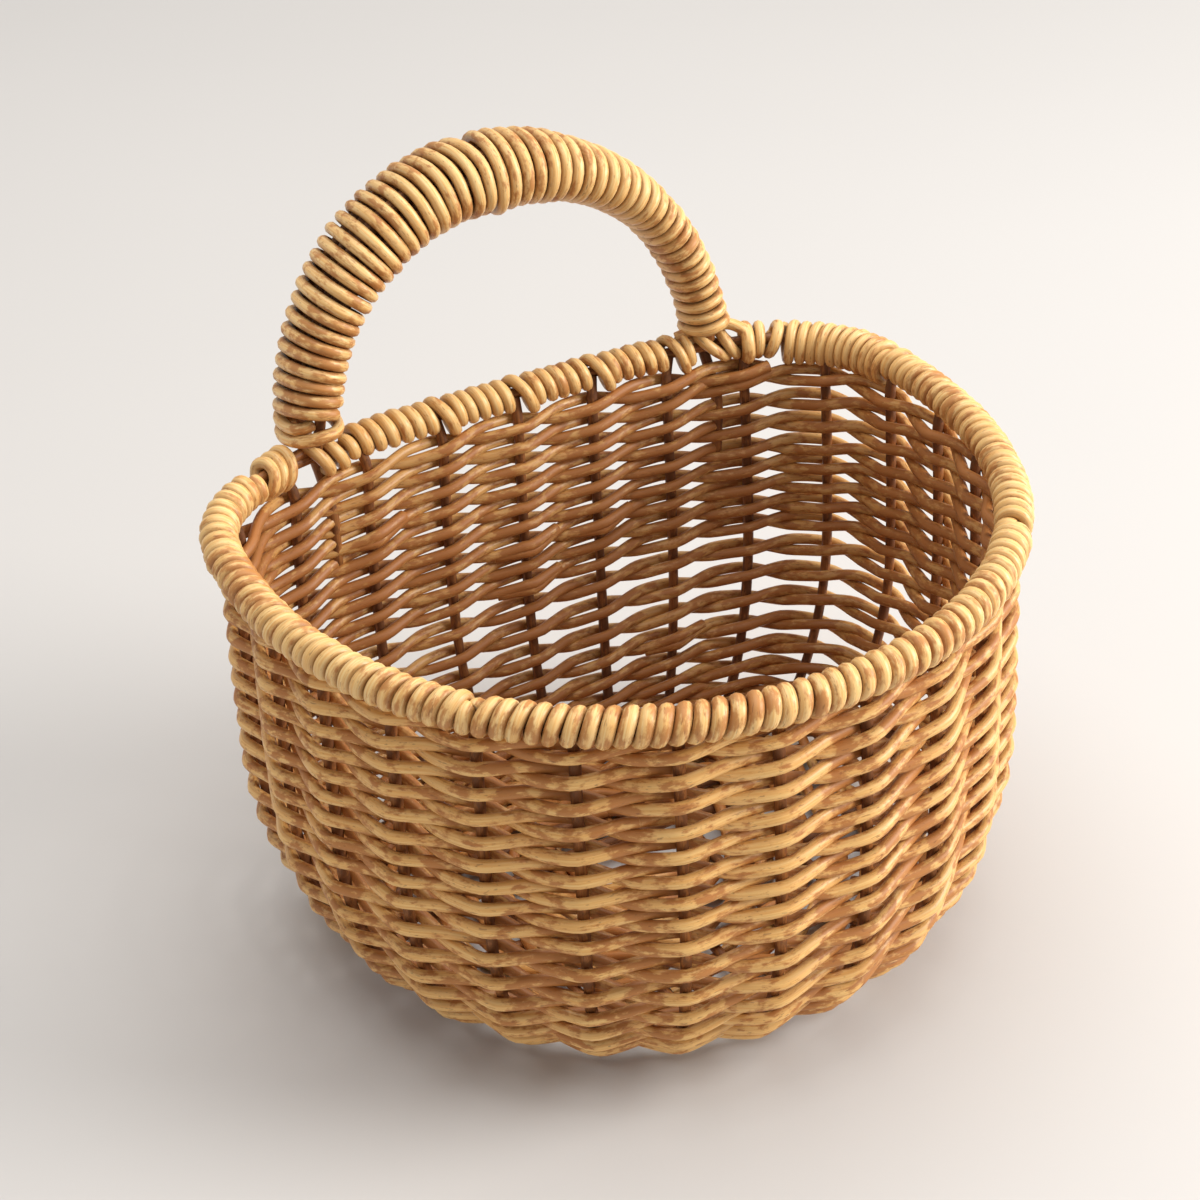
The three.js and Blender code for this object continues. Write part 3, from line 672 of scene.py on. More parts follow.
def add_floor():
    """A pale paper floor, which isn't part of the basket."""
    half = FLOOR_HALF_WIDTH
    mesh = bpy.data.meshes.new("floor")
    corners = [(-half, -half, 0), (half, -half, 0), (half, half, 0), (-half, half, 0)]
    mesh.from_pydata(corners, [], [(0, 1, 2, 3)])
    paper = bpy.data.materials.new("pale_paper")
    paper.use_nodes = True
    tree = paper.node_tree
    place = node(tree, "ShaderNodeTexCoord").outputs["Object"]
    cloud = noise(tree, place, *PAPER_NOISE)
    clouded = mixed(tree, cloud, colour(201, 199, 197), colour(206, 204, 202))
    shader = tree.nodes["Principled BSDF"]
    tree.links.new(clouded, shader.inputs["Base Color"])
    shader.inputs["Roughness"].default_value = PAPER_ROUGHNESS
    mesh.materials.append(paper)
    floor = bpy.data.objects.new("floor", mesh)
    bpy.context.scene.collection.objects.link(floor)


# Plan outlines and the rim's centreline
OUTLINE_STEPS = 4000


def outline(angle, half_width, front_depth, back_depth):
    """A half-round outline in plan: a fuller curve at the back than at the front."""
    front = np.sin(angle) < 0
    power = np.where(front, FRONT_POWER, BACK_POWER)
    depth = np.where(front, front_depth, back_depth)
    total = np.abs(np.cos(angle) / half_width) ** power + np.abs(np.sin(angle) / depth) ** power
    reach = total ** (-1 / power)
    return reach * np.cos(angle), reach * np.sin(angle)


def even_places(half_width, front_depth, back_depth):
    """Angles and distances along an outline, from the middle of the back towards -X and round."""
    angle = math.pi / 2 + np.linspace(0, 2 * math.pi, OUTLINE_STEPS + 1)
    x, y = outline(angle, half_width, front_depth, back_depth)
    return angle, along_outline(x, y)


RIM_ANGLES, RIM_RUN = even_places(RIM_HALF_WIDTH, RIM_FRONT_DEPTH, RIM_BACK_DEPTH)
RIM_LENGTH = RIM_RUN[-1]
STAKE_SPACING = RIM_LENGTH / STAKES


def angle_at(stakes):
    """The plan angle after so many stakes, counted round the rim."""
    turns = np.floor(np.asarray(stakes) / STAKES)
    place = np.asarray(stakes) - turns * STAKES
    return np.interp(place, RIM_RUN / STAKE_SPACING, RIM_ANGLES) + 2 * math.pi * turns


def rim_point(distance):
    """Where the hoop's middle is at distances along the rim."""
    x, y = outline(angle_at(distance / STAKE_SPACING), RIM_HALF_WIDTH, RIM_FRONT_DEPTH, RIM_BACK_DEPTH)
    return np.stack([x, y + PLAN_Y, np.full_like(x, RIM_HEIGHT)], -1)


# The wall: down runs from 0 at the rim to 1 at the base
BELLY_DROP = BELLY_HEIGHT - BASE_MIDDLE
LOWER_LENGTH = BASE_TURN * (BELLY_DROP + RIM_HALF_WIDTH - BASE_HALF_WIDTH) / 2
BELLY_SHARE = (RIM_HEIGHT - BELLY_HEIGHT) / (RIM_HEIGHT - BELLY_HEIGHT + LOWER_LENGTH)


def wall_reach(down, rim_reach, base_reach):
    """How far out the wall stands, between its reach at the rim and at the base."""
    belly = rim_reach - INSET_AT_BELLY
    rise = 1 - down / BELLY_SHARE
    upper = belly - (INSET_AT_RIM - INSET_AT_BELLY) * rise * rise
    turn = BASE_TURN * (down - BELLY_SHARE) / (1 - BELLY_SHARE)
    lower = belly - (belly - base_reach) * (1 - np.cos(turn)) / (1 - math.cos(BASE_TURN))
    return np.where(down < BELLY_SHARE, upper, lower)


def wall_height(down):
    """How high a place on the wall is."""
    upper = RIM_HEIGHT - (RIM_HEIGHT - BELLY_HEIGHT) * down / BELLY_SHARE
    turn = BASE_TURN * (down - BELLY_SHARE) / (1 - BELLY_SHARE)
    return np.where(down < BELLY_SHARE, upper, BELLY_HEIGHT - BELLY_DROP * np.sin(turn))


def down_at(height):
    """How far down the wall a height is, above the belly."""
    return BELLY_SHARE * (RIM_HEIGHT - height) / (RIM_HEIGHT - BELLY_HEIGHT)


def wall_point(angle, down):
    """A place on the surface through the stakes' centres."""
    down = np.asarray(down, float)
    x, y = outline(angle, wall_reach(down, RIM_HALF_WIDTH, BASE_HALF_WIDTH),
                   wall_reach(down, RIM_FRONT_DEPTH, BASE_FRONT_DEPTH),
                   wall_reach(down, RIM_BACK_DEPTH, BASE_BACK_DEPTH))
    return np.stack([x, y + PLAN_Y, wall_height(down)], -1)


def wall_axes(angle, down):
    """At a place on the wall: the direction out of it and the direction up along it."""
    step = 1e-3
    around = wall_point(angle + step, down) - wall_point(angle - step, down)
    along = wall_point(angle, down + step) - wall_point(angle, down - step)
    return unit(np.cross(along, around)), -unit(along)


# Woven wall: two weavers that pair round every stake, from under the rim down to the base
DOWN_AT_TOP_ROW = down_at(TOP_ROW_HEIGHT)
ROW_SHARE = ROW_PITCH * BELLY_SHARE / (RIM_HEIGHT - BELLY_HEIGHT)
ROUNDS = (1 - DOWN_AT_TOP_ROW) / ROW_SHARE


def row_at(passed):
    """Rows wound after so many stakes.

    The first rounds lie level under the rim and step down in one place beside the right foot, and
    the lower ones sink evenly all the way round. Where the weaving starts, the next rounds are
    pulled up towards it, each less than the one above.
    """
    place = passed % STAKES
    back = np.clip(place / BACK_STAKES, 0, 1)
    step = np.clip((place - STEP_END_STAKES + STEP_STAKES) / STEP_STAKES, 0, 1)
    level = BACK_DROP_SHARE * back + (1 - BACK_DROP_SHARE) * step * step * (3 - 2 * step)
    evened = np.clip(passed / STAKES / EVEN_ROUNDS, 0, 1)
    raised = 0
    for k in range(RAISED_ROUNDS):
        beside = passed - STAKES * (k + 1)
        near = np.clip(np.minimum(beside / RAISED_BEFORE + 1, 1 - beside / RAISED_AFTER), 0, 1)
        raised = raised + RAISED_SHARE * RAISED_DECAY ** k * near * near * (3 - 2 * near)
    return np.floor(passed / STAKES) + level * (1 - evened) + place / STAKES * evened - raised


def weaver_lengths(strand):
    """Where one weaver starts and ends, counted in stakes: it is joined from several lengths."""
    total = ROUNDS * STAKES
    scatter = np.random.default_rng(JOIN_SEED + strand).uniform(-JOIN_SCATTER, JOIN_SCATTER, JOINS)
    joins = np.arange(1, JOINS + 1) * total / (JOINS + 1) + scatter
    # A join lies on the inside, just past a stake that this weaver passes behind
    joins = np.round((joins + WEAVE_TOP_STAKE + strand - 1) / 2) * 2 + 1 - strand - WEAVE_TOP_STAKE
    marks = [0, *joins, total]
    return list(zip(marks, marks[1:]))


def weave_length(bundle, strand, first, last, seed):
    """One length of a weaver, from first to last in stakes passed."""
    start = max(first - JOIN_OVERLAP, 0)
    stop = last + JOIN_OVERLAP
    passed = np.linspace(start, stop, int((stop - start) * WEAVE_STEPS) + 1)
    stakes = WEAVE_TOP_STAKE + passed
    angle = angle_at(stakes)
    row = row_at(passed)
    run = passed * STAKE_SPACING
    round_rim = (stakes % STAKES) * STAKE_SPACING
    drift = sway(DRIFT_SEED, round_rim + DRIFT_SHIFT * np.floor(row), *ROW_DRIFT)
    jitter = sway(seed + 5, run, *ROW_JITTER)
    down = DOWN_AT_TOP_ROW + ROW_SHARE * (row + (drift + jitter) / ROW_PITCH)
    down = np.minimum(down, 1.0)
    point = wall_point(angle, down)
    out, up = wall_axes(angle, down)
    phase = math.pi * (stakes + strand)
    reach = WEAVE_REACH * taut(phase) * (1 + sway(seed + 6, run, *REACH_SWAY))
    climb = WEAVE_CLIMB * taut(phase - math.pi / 2)
    # At a join the old end is pulled in and down, and the new one in and up
    for mark, lift in ((first, 1), (last, -1)):
        near = np.clip(1 - np.abs(passed - mark) / JOIN_SPREAD, 0, 1) ** 2
        if 0 < mark < ROUNDS * STAKES:
            reach = reach - near * JOIN_PULL
            climb = climb + near * lift * JOIN_STEP
    path = point + out * reach[:, None] + up * climb[:, None]
    # Painted shade together with deeper stain where the weaver passes behind the stakes, on the basket's
    # inner face
    inner = np.clip(0.5 - reach / (2 * WEAVE_REACH), 0, 1)
    bundle.strand(path, out, WEAVER_RADIUS, seed, WEAVER_CREVICE_SHADE, inside=inner)


def add_wall():
    """The two weavers, each one piece of several lengths."""
    for strand in range(2):
        bundle = Bundle()
        for k, (first, last) in enumerate(weaver_lengths(strand)):
            weave_length(bundle, strand, first, last, WEAVER_SEED + 40 * strand + 7 * k)
        bundle.make(f"weaver_{strand + 1}", finishes["weave"], "weave", "woven_wall")


# Stakes: from inside the rim, down the wall and in under the base
STAKE_TOP = RIM_HEIGHT - 0.6 * MM
STAKE_BESIDE_HOOP = 0.7 * MM
STAKE_TAIL = 9 * MM
STAKE_STEP = 2.4 * MM
STAKE_PLACES = 34


def add_stakes():
    """Each stake from beside the hoop, down the wall's middle surface and in under the base."""
    for k in range(STAKES):
        angle = float(angle_at(k))
        downs = np.linspace(DOWN_AT_TOP_ROW, 1, STAKE_PLACES)
        wall = wall_point(angle, downs)
        out, _ = wall_axes(angle, downs)
        rim = rim_point(np.array([k * STAKE_SPACING]))[0]
        top = rim - out[0] * STAKE_BESIDE_HOOP
        top[2] = STAKE_TOP
        inward = unit(wall[-1] - wall[-2])
        tail = wall[-1] + inward * STAKE_TAIL
        tail[2] = BASE_MIDDLE
        path = smooth_path([top, *wall[::3], wall[-1], tail], STAKE_STEP)
        share, known = np.linspace(0, 1, len(path)), np.linspace(0, 1, len(out))
        facing = np.stack([np.interp(share, known, out[:, i]) for i in range(3)], 1)
        bundle = Bundle().strand(path, facing, STAKE_RADIUS, STAKE_SEED + 5 * k, STAKE_CREVICE_SHADE,
                                 ends=(False, True))
        bundle.make(f"wall_stake_{k + 1:02d}", finishes["stake"], "stake", f"stake_{k + 1:02d}")


# Base: crossed sticks in the middle, with pairs of weavers in half-round rings about them
PLATE_HALF_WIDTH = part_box("woven_base")[1].x
PLATE_FRONT_DEPTH = PLAN_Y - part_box("woven_base")[0].y
PLATE_BACK_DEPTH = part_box("woven_base")[1].y - PLAN_Y
BASE_RING_PITCH = 5.6 * MM
RING_CLOSENESS = 1.55
RING_STEP = 1.7 * MM
FIRST_RING_SHARE = 0.30
LAST_RING_SHARE = 0.965
BASE_WEAVER_SHARE = 0.97
RING_PLACES = 1440
STICK_KINDS = (("along", 3), ("across", 5))
CROSSED_SHARE = 0.25
STICK_PLACES = 41


def base_sticks():
    """Each stick's two ends and how far it lies above or below the middle of the plate at its centre."""
    sticks = []
    for kind, count in STICK_KINDS:
        for k in range(count):
            name = f"base_stick_{kind}_{k + 1}"
            low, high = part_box(name)
            middle = (low + high) / 2
            along = kind == "along"
            ends = [Vector((low.x, middle.y, middle.z)), Vector((high.x, middle.y, middle.z))]
            if not along:
                ends = [Vector((middle.x, low.y, middle.z)), Vector((middle.x, high.y, middle.z))]
            sticks.append((name, ends, middle.z - BASE_MIDDLE))
    return sticks


def add_base_sticks():
    """The sticks, which bend past each other where they cross."""
    for k, (name, ends, lift) in enumerate(base_sticks()):
        share = np.linspace(0, 1, STICK_PLACES)
        path = np.array([ends[0].lerp(ends[1], s) for s in share])
        away = np.abs(share - 0.5) * 2
        crossed = 1 - np.clip((away - CROSSED_SHARE) / CROSSED_SHARE, 0, 1)
        path[:, 2] = BASE_MIDDLE + lift * crossed ** 2
        bundle = Bundle().strand(path, (0, 0, 1), STICK_RADIUS, STICK_SEED + 5 * k, STAKE_CREVICE_SHADE)
        bundle.make(name.replace("stick", "rod"), finishes["stake"], "stake", name)


def crossings(share):
    """A ring of the base, and the distances round it at which it passes over or under a stick."""
    angle = math.pi / 2 + np.linspace(0, 2 * math.pi, RING_PLACES + 1)
    x, y = outline(angle, PLATE_HALF_WIDTH * share, PLATE_FRONT_DEPTH * share, PLATE_BACK_DEPTH * share)
    y = y + PLAN_Y
    run = along_outline(x, y)
    found = []
    for name, ends, _ in base_sticks():
        line = ends[0].y if "along" in name else ends[0].x
        values = (y if "along" in name else x) - line
        hits = np.where(np.sign(values[:-1]) * np.sign(values[1:]) < 0)[0]
        found += [float(run[i]) for i in hits]
    return x, y, run, sorted(found)


def add_base_weave():
    """Rings of two weavers that pair round the sticks."""
    rings = int((1 - FIRST_RING_SHARE) * PLATE_BACK_DEPTH / BASE_RING_PITCH * RING_CLOSENESS)
    shares = np.linspace(FIRST_RING_SHARE, LAST_RING_SHARE, rings)
    bundle = Bundle()
    for k, share in enumerate(shares):
        x, y, run, found = crossings(share)
        spots = np.array([found[-1] - run[-1], *found, found[0] + run[-1]])
        fine = np.linspace(0, run[-1], int(run[-1] / RING_STEP))
        count = np.interp(fine, spots, np.arange(len(spots)))
        px, py = np.interp(fine, run, x), np.interp(fine, run, y)
        middle = np.array([0, PLAN_Y])
        outward = unit(np.stack([px, py], 1) - middle)
        for strand in range(2):
            phase = math.pi * (count + strand + k % 2)
            path = np.stack([px, py, np.full_like(px, BASE_MIDDLE)], 1)
            path[:, 2] += (STICK_RADIUS + WEAVER_RADIUS) * np.cos(phase)
            path[:, :2] += outward * (WEAVE_CLIMB * np.sin(phase))[:, None]
            # Painted shade together with deeper stain on the weavers' upper side, inside the basket
            inner = np.clip(0.5 + np.cos(phase) / 2, 0, 1)
            bundle.strand(path, (0, 0, 1), WEAVER_RADIUS * BASE_WEAVER_SHARE,
                          BASE_WEAVE_SEED + 9 * k + strand, WEAVER_CREVICE_SHADE, inside=inner)
    bundle.make("base_weave", finishes["weave"], "weave", "woven_base")


# Rim: a hoop, bound all round, with one long turn at each stake of the back
RIM_REACH = HOOP_RADIUS + BINDING_RADIUS + 0.1 * MM
FOOT_STAKE = 2.5
LOOP_STEPS = 20
TUCK_TURNS = 0.3
LOOP_JITTER = 0.12 * MM
REACH_JITTER = (-0.12 * MM, 0.16 * MM)
LOOP_FILL = 0.98
WIDEST_LOOP = 1.14
LEAST_SPACE = 0.2
LOOP_REST = 0.02

# A single loop: its turn from the rim's outer side and back to it, and the share in which it dives
LOOP_FROM = -0.26
LOOP_TO = 0.76
LOOP_TUCK = 0.12

# At a tied stake: the gap beside it, and how far the long loop slants along the rim
TIE_GAP = 1.1 * MM
TIE_SLANT = (1.5 * MM, 1.1 * MM)

# How far the long loop and a dropped one stand off, at the top, inner side, bottom and outer side
TIE_STAND = np.array([0.5, 1.0, 1.7, 0.1]) * MM
DROP_SHARES = np.array([0, 0.25, 1, 0.25])

# The hoop's lapped end lies on top of it beside the left foot, from and to in stakes
HOOP_STEPS = 260
HOOP_LAP = (2.6, 3.7)
LAP_RISE = 2.2 * MM
LAP_STEPS = 30

# Where each winding of the rim starts and stops, in stakes, and how far its last loops reach down
BACK_LEFT_END = 2.18
BACK_RIGHT_END = -2.36
LEFT_START = 3.34
FRONT_START = 9
FRONT_STOP = 16
LONG_START = 20.1
LONG_STOP = 21.56
LONG_DROP = 2.5 * MM

# Loops in a stake space, and the share of a turn's advance that lies on the inner side
BACK_LOOPS = 6
SIDE_LOOPS = 6.4
LONG_LOOPS = 7.3
BACK_LEAN = 0.7
LEFT_LEAN = 0.3
RIGHT_LEAN = 0.5
FRONT_MIDDLE = 12

# Single loops at the handle's feet: top and bottom in stakes, rise, drop and width
RIGHT_FOOT_LOOPS = (
    (22.62, 22.27, 0.2 * MM, 0.2 * MM, 1.0),
    (22.34, 22.14, 0.1 * MM, 0.0, 0.95),
    (22.03, 22.02, 0.6 * MM, 1.6 * MM, 1.12),
    (21.86, 21.89, 0.3 * MM, 0.5 * MM, 0.95),
    (21.63, 21.76, 0.3 * MM, 0.6 * MM, 1.05),
)
LEFT_FOOT_LOOPS = (
    (2.62, 2.4, 0.3 * MM, 1.6 * MM, 1.0),
    (2.4, 2.2, 0.3 * MM, 1.4 * MM, 1.0),
    (2.92, 3.07, 1.6 * MM, 0.3 * MM, 1.0),
    (3.05, 3.2, 1.2 * MM, 0.3 * MM, 1.0),
    (3.17, 3.32, 0.8 * MM, 0.2 * MM, 1.0),
)


def rim_axes(distance):
    """At places along the rim: its centre and the direction into the basket."""
    step = 0.05 * MM
    along = unit(rim_point(distance + step) - rim_point(distance - step))
    return rim_point(distance), np.cross(np.array([0, 0, 1.0]), along)


def round_hoop(distance, turn, reach):
    """Points round the hoop, from distances along it, turns from its top and how far out they lie."""
    centre, inward = rim_axes(distance)
    angle = 2 * math.pi * turn
    facing = inward * np.sin(angle)[:, None] + np.array([0, 0, 1.0]) * np.cos(angle)[:, None]
    return centre + facing * reach[:, None], facing


def quarters(values, places):
    """Reads rows of four values a loop, at its top, inner side, bottom and outer side, smoothly."""
    values = np.asarray(values, float).ravel()
    padded = np.concatenate([[2 * values[0] - values[1]], values, [2 * values[-1] - values[-2]] * 2])
    place = np.clip(places * 4, 0, len(values) - 1)
    index = np.minimum(place.astype(int), len(values) - 2)
    t = place - index
    a, b, c, d = (padded[index + k] for k in range(4))
    return curve_at(a, b, c, d, t)


def rim_winding(bundle, start, stop, loops_a_space, seed, lean, tied=False, drop=0):
    """One strand wound from start to stop, with so many loops in a stake space.

    lean is how much of a turn's advance lies on the inner side, as a share. Where tied, each
    stake has a gap beside it and a longer loop that stands off more and slants down past it. drop
    is how far the loops reach down past the rim, over the first row.
    """
    draw = np.random.default_rng(seed)
    way = 1 if stop > start else -1
    first, last = start / STAKE_SPACING * way, stop / STAKE_SPACING * way
    between_ends = range(math.ceil(first + LEAST_SPACE), math.floor(last - LEAST_SPACE) + 1)
    marks = [first, *between_ends, last]
    centres, reaches, widths = [], [], []
    for low, high in zip(marks, marks[1:]):
        space = (high - low) * STAKE_SPACING
        loops = max(int(round(loops_a_space * (high - low))), 1)
        at_stake = tied and low != first
        gap = TIE_GAP if at_stake else 0
        pitch = (space - gap * 2) / loops
        for i in range(loops):
            nudge = draw.uniform(-LOOP_JITTER, LOOP_JITTER)
            centre = low * STAKE_SPACING + gap + (i + 0.5) * pitch + nudge
            share = lean(way * centre / STAKE_SPACING)
            half = share * pitch / 2
            tie = at_stake and i == 0
            before, after = TIE_SLANT if tie else (0, 0)
            centres.append([centre - half - before, centre, centre + half + after, centre + pitch / 2])
            reach = RIM_REACH + draw.uniform(*REACH_JITTER, 4) + DROP_SHARES * drop
            reaches.append(reach + TIE_STAND if tie else reach)
            widths.append([min(pitch / (2 * BINDING_RADIUS) * LOOP_FILL, WIDEST_LOOP)] * 4)
    turns = np.linspace(0, len(centres) - LOOP_REST, len(centres) * LOOP_STEPS)
    distance = way * quarters(centres, turns)
    tucked = np.clip(1 - turns / TUCK_TURNS, 0, 1) + np.clip(1 - (turns[-1] - turns) / TUCK_TURNS, 0, 1)
    reach = quarters(reaches, turns) - BINDING_RADIUS * tucked
    path, facing = round_hoop(distance, turns, reach)
    bundle.strand(path, facing, BINDING_RADIUS, seed, BINDING_CREVICE_SHADE, width=quarters(widths, turns))


def single_loop(bundle, top, bottom, rise, drop, width, seed):
    """One loop over the rim: where its top and bottom lie in stakes, how far they stand off, its width.

    Its ends meet on the rim's outer side, where they dive under the loops beside them.
    """
    turn = np.linspace(LOOP_FROM, LOOP_TO, 2 * LOOP_STEPS + 1)
    middle = (LOOP_FROM + LOOP_TO) / 2
    half = (LOOP_TO - LOOP_FROM) / 2
    low = (1 - np.cos(2 * math.pi * turn)) / 2
    tucked = np.clip(np.abs(turn - middle) / LOOP_TUCK - half / LOOP_TUCK + 1, 0, 1)
    reach = RIM_REACH + rise * (1 - low) + drop * low - BINDING_RADIUS * tucked
    path, facing = round_hoop((top + (bottom - top) * low) * STAKE_SPACING, turn, reach)
    bundle.strand(path, facing, BINDING_RADIUS, seed, LOOP_CREVICE_SHADE, width=width)


def add_hoop():
    """The hoop, closed round the rim, with its lapped end as a second strand."""
    distance = np.linspace(0, RIM_LENGTH, HOOP_STEPS + 1)[:-1]
    centre, inward = rim_axes(distance)
    path = np.vstack([centre, centre[:2]])
    facing = np.vstack([inward, inward[:2]])
    hoop = Bundle().strand(path, facing, HOOP_RADIUS, HOOP_SEED, HOOP_CREVICE_SHADE, ends=(False, False))
    lap = np.linspace(*HOOP_LAP, LAP_STEPS)
    rise = np.interp(lap, HOOP_LAP, (LAP_RISE, 0))
    path, facing = round_hoop(lap * STAKE_SPACING, np.zeros(LAP_STEPS), rise)
    hoop.strand(path, facing, HOOP_RADIUS, LAP_SEED, HOOP_CREVICE_SHADE)
    hoop.make("hoop", finishes["core"], "core", "rim_hoop")


def add_rim_windings():
    """The binding: one tied winding at the back, and three more round the left, front and right."""
    back = Bundle()
    rim_winding(back, BACK_LEFT_END * STAKE_SPACING, BACK_RIGHT_END * STAKE_SPACING, BACK_LOOPS,
                BACK_WINDING_SEED, lambda stakes: BACK_LEAN, tied=True)
    back.make("rim_winding_back", finishes["binding"], "binding", "rim_binding_back")

    left_nodes = ("rim_binding_side_1", "rim_binding_side_2")
    right_nodes = ("rim_binding_side_3", "rim_binding_side_4")
    spans = [
        ("left", [(LEFT_START, FRONT_START, SIDE_LOOPS, 0)], left_nodes),
        ("front", [(FRONT_START, FRONT_STOP, SIDE_LOOPS, 0)], ("rim_binding_front",)),
        ("right", [(FRONT_STOP, LONG_START, SIDE_LOOPS, 0),
                   (LONG_START, LONG_STOP, LONG_LOOPS, LONG_DROP)], right_nodes),
    ]
    for k, (side, lengths, nodes) in enumerate(spans):
        bundle = Bundle()
        for i, (start, stop, loops, drop) in enumerate(lengths):
            rim_winding(bundle, start * STAKE_SPACING, stop * STAKE_SPACING, loops,
                        RIM_WINDING_SEED + 10 * k + 5 * i,
                        lambda stakes: LEFT_LEAN if stakes < FRONT_MIDDLE else RIGHT_LEAN, drop=drop)
        if side == "right":
            for i, loop in enumerate(RIGHT_FOOT_LOOPS):
                single_loop(bundle, *loop, RIGHT_LOOP_SEED + 3 * i)
        bundle.make(f"rim_winding_{side}", finishes["binding"], "binding", *nodes)


# Handle: five canes side by side over an arch, wound from both feet to a notch near the top
ARCH_STEPS = 2000
CANE_STEP = 2 * MM
CANE_PLACES = 25
HANDLE_RISE = 57 * MM
HANDLE_LEAN = 8 * MM
HANDLE_POWER = 2.1
CANES = 5
INNER_CANE_RADIUS = 2.2 * MM
INNER_CANE_SPACING = 4.7 * MM
OUTER_CANE_OFFSET = 8.6 * MM
CANE_SPREAD = 12 * MM
CANE_TUCK = 30 * MM
FRONT_CANE_STOP = 2.5 * MM
PASS_OFFSET = HOOP_RADIUS + CANE_RADIUS + 0.6 * MM
TUCK_OFFSET = CANE_RADIUS + 0.3 * MM

# Shares of a tuck's depth, of its offset along the rim, and of its stand beside the hoop
TUCK_PLACES = ((1, 1, 0), (0.5, 1, 0), (0.25, 0.6, 0.5), (0, 0, 1))

# Windings: the notch and their tilts, where each starts and how many loops it has, and the packing
NOTCH_SHARE = 0.48
NOTCH_LEFT_STOP = 0.1 * MM
NOTCH_RIGHT_STOP = -0.1 * MM
NOTCH_TILT = 3.2 * MM
TILTED_LOOPS = 10
NOTCH_HANG = 0.14
FOOT_TILT = 4.6 * MM
FOOT_LOOPS = 8
BAND_REACH = 24 * MM
ARCH_BEND = 50 * MM
LEFT_WRAP_START = 11.1 * MM
RIGHT_WRAP_START = 5.4 * MM
LEFT_WRAP_PHASE = 0.68
RIGHT_WRAP_PHASE = 0.3
LEFT_LOOPS = 22.62
RIGHT_LOOPS = 26
PACKED_FROM = 0.26
PACKED_TO = 0.62
PACKING_RADIUS = 1.9 * MM
PACKING_PLACES = 41

# A winding's loops: how far they are nudged, fill their pitch and puff out
WRAP_STEPS = 28
WRAP_NUDGE = 0.16 * MM
WRAP_FILL = 0.99
PUFF_SHARE = 0.03
PUFF_PITCH = 10 * MM
PUFF_SPACING = 14 * MM

# The wound band from the left foot to the right: half its sizes, and its shift out from the arch's line
BAND_PLACES = (0, 0.1, 0.2, 0.3, 0.4, 0.48, 0.56, 0.64, 0.72, 0.8, 0.9, 1)
BAND_HALF_THICKNESS = np.array((7.1, 7.2, 7.2, 8.5, 9.0, 9.0, 8.6, 7.5, 6.5, 5.9, 5.7, 6.2)) * MM
BAND_HALF_WIDTH = np.array((12.6, 12.8, 13.1, 13.5, 13.8, 13.8, 13.6, 12.6, 10.8, 9.2, 8.2, 8.4)) * MM
BAND_SHIFT = np.array((0.9, 1.1, 0.9, 0.5, 0.3, 0, -0.25, -0.5, -0.4, -0.25, -0.3, 0)) * MM
BAND_POWER = 2.3

# The left foot's ring: turns as in band_section, and heights up the arch in mm
RING_TURNS = (-0.66, -0.45, -0.25, 0, 0.3)
RING_HEIGHTS = (9.1, 9.0, 8.4, 5.4, 5.6)
RING_STEPS = 60

# The tail of a strand above it: from and to in turns, its heights in mm, and how deep it dives
TAIL_FROM = 0.3
TAIL_TO = -0.18
TAIL_HEIGHTS = ((-0.18, 0, 0.3), (10.0, 8.4, 8.5))
TAIL_DIVES = ((-0.18, -0.08, 0.3), (0.34, 0, 0))
TAIL_STEPS = 40

# The right foot's ring: stakes, turn from the hoop's top and reach in mm
RIGHT_RING = (
    (22.86, -0.07, 3.4),
    (22.66, -0.02, 4.6),
    (22.45, 0.02, 5.5),
    (22.25, 0.02, 5.7),
    (22.10, 0.05, 4.6),
    (22.03, 0.09, 3.0),
)
RIGHT_RING_STEP = 1.2 * MM

foot = rim_point(np.array([FOOT_STAKE * STAKE_SPACING]))[0]
HANDLE_HALF_WIDTH = abs(foot[0])
lean_angle = math.atan(HANDLE_LEAN / HANDLE_RISE)
HANDLE_SIDE = np.array([0, math.cos(lean_angle), -math.sin(lean_angle)])
HANDLE_UP = np.array([0, math.sin(lean_angle), math.cos(lean_angle)])


def arch_line():
    """Points along the arch from the left foot to the right one, with their distances."""
    turn = np.linspace(0, math.pi, ARCH_STEPS + 1)
    slant = math.hypot(HANDLE_RISE, HANDLE_LEAN)
    reach = (np.abs(np.cos(turn) / HANDLE_HALF_WIDTH) ** HANDLE_POWER
             + np.abs(np.sin(turn) / slant) ** HANDLE_POWER) ** (-1 / HANDLE_POWER)
    x = -reach * np.cos(turn)
    rise = reach * np.sin(turn)
    points = np.array([0, foot[1], RIM_HEIGHT]) + np.outer(x, [1, 0, 0]) + np.outer(rise, HANDLE_UP)
    return points, along_path(points)


ARCH_POINTS, ARCH_RUN = arch_line()
ARCH_LENGTH = ARCH_RUN[-1]


def arch_at(distance):
    """The arch's centre and its outward direction at distances from the left foot."""
    distance = np.asarray(distance, float)
    step = 0.3 * MM
    centre, ahead, behind = (
        np.stack([np.interp(np.clip(distance + shift, 0, ARCH_LENGTH), ARCH_RUN, ARCH_POINTS[:, i])
                  for i in range(3)], -1)
        for shift in (0, step, -step)
    )
    outward = unit(np.cross(unit(ahead - behind), HANDLE_SIDE))
    shift = np.interp(distance / ARCH_LENGTH, BAND_PLACES, BAND_SHIFT)
    return centre + outward * shift[..., None], outward


def band_half(share):
    """Half the band's thickness and width, out to the middle of the strand wound round it."""
    thick = np.interp(share, BAND_PLACES, BAND_HALF_THICKNESS) - HANDLE_WRAP_RADIUS
    return thick, np.interp(share, BAND_PLACES, BAND_HALF_WIDTH) - HANDLE_WRAP_RADIUS


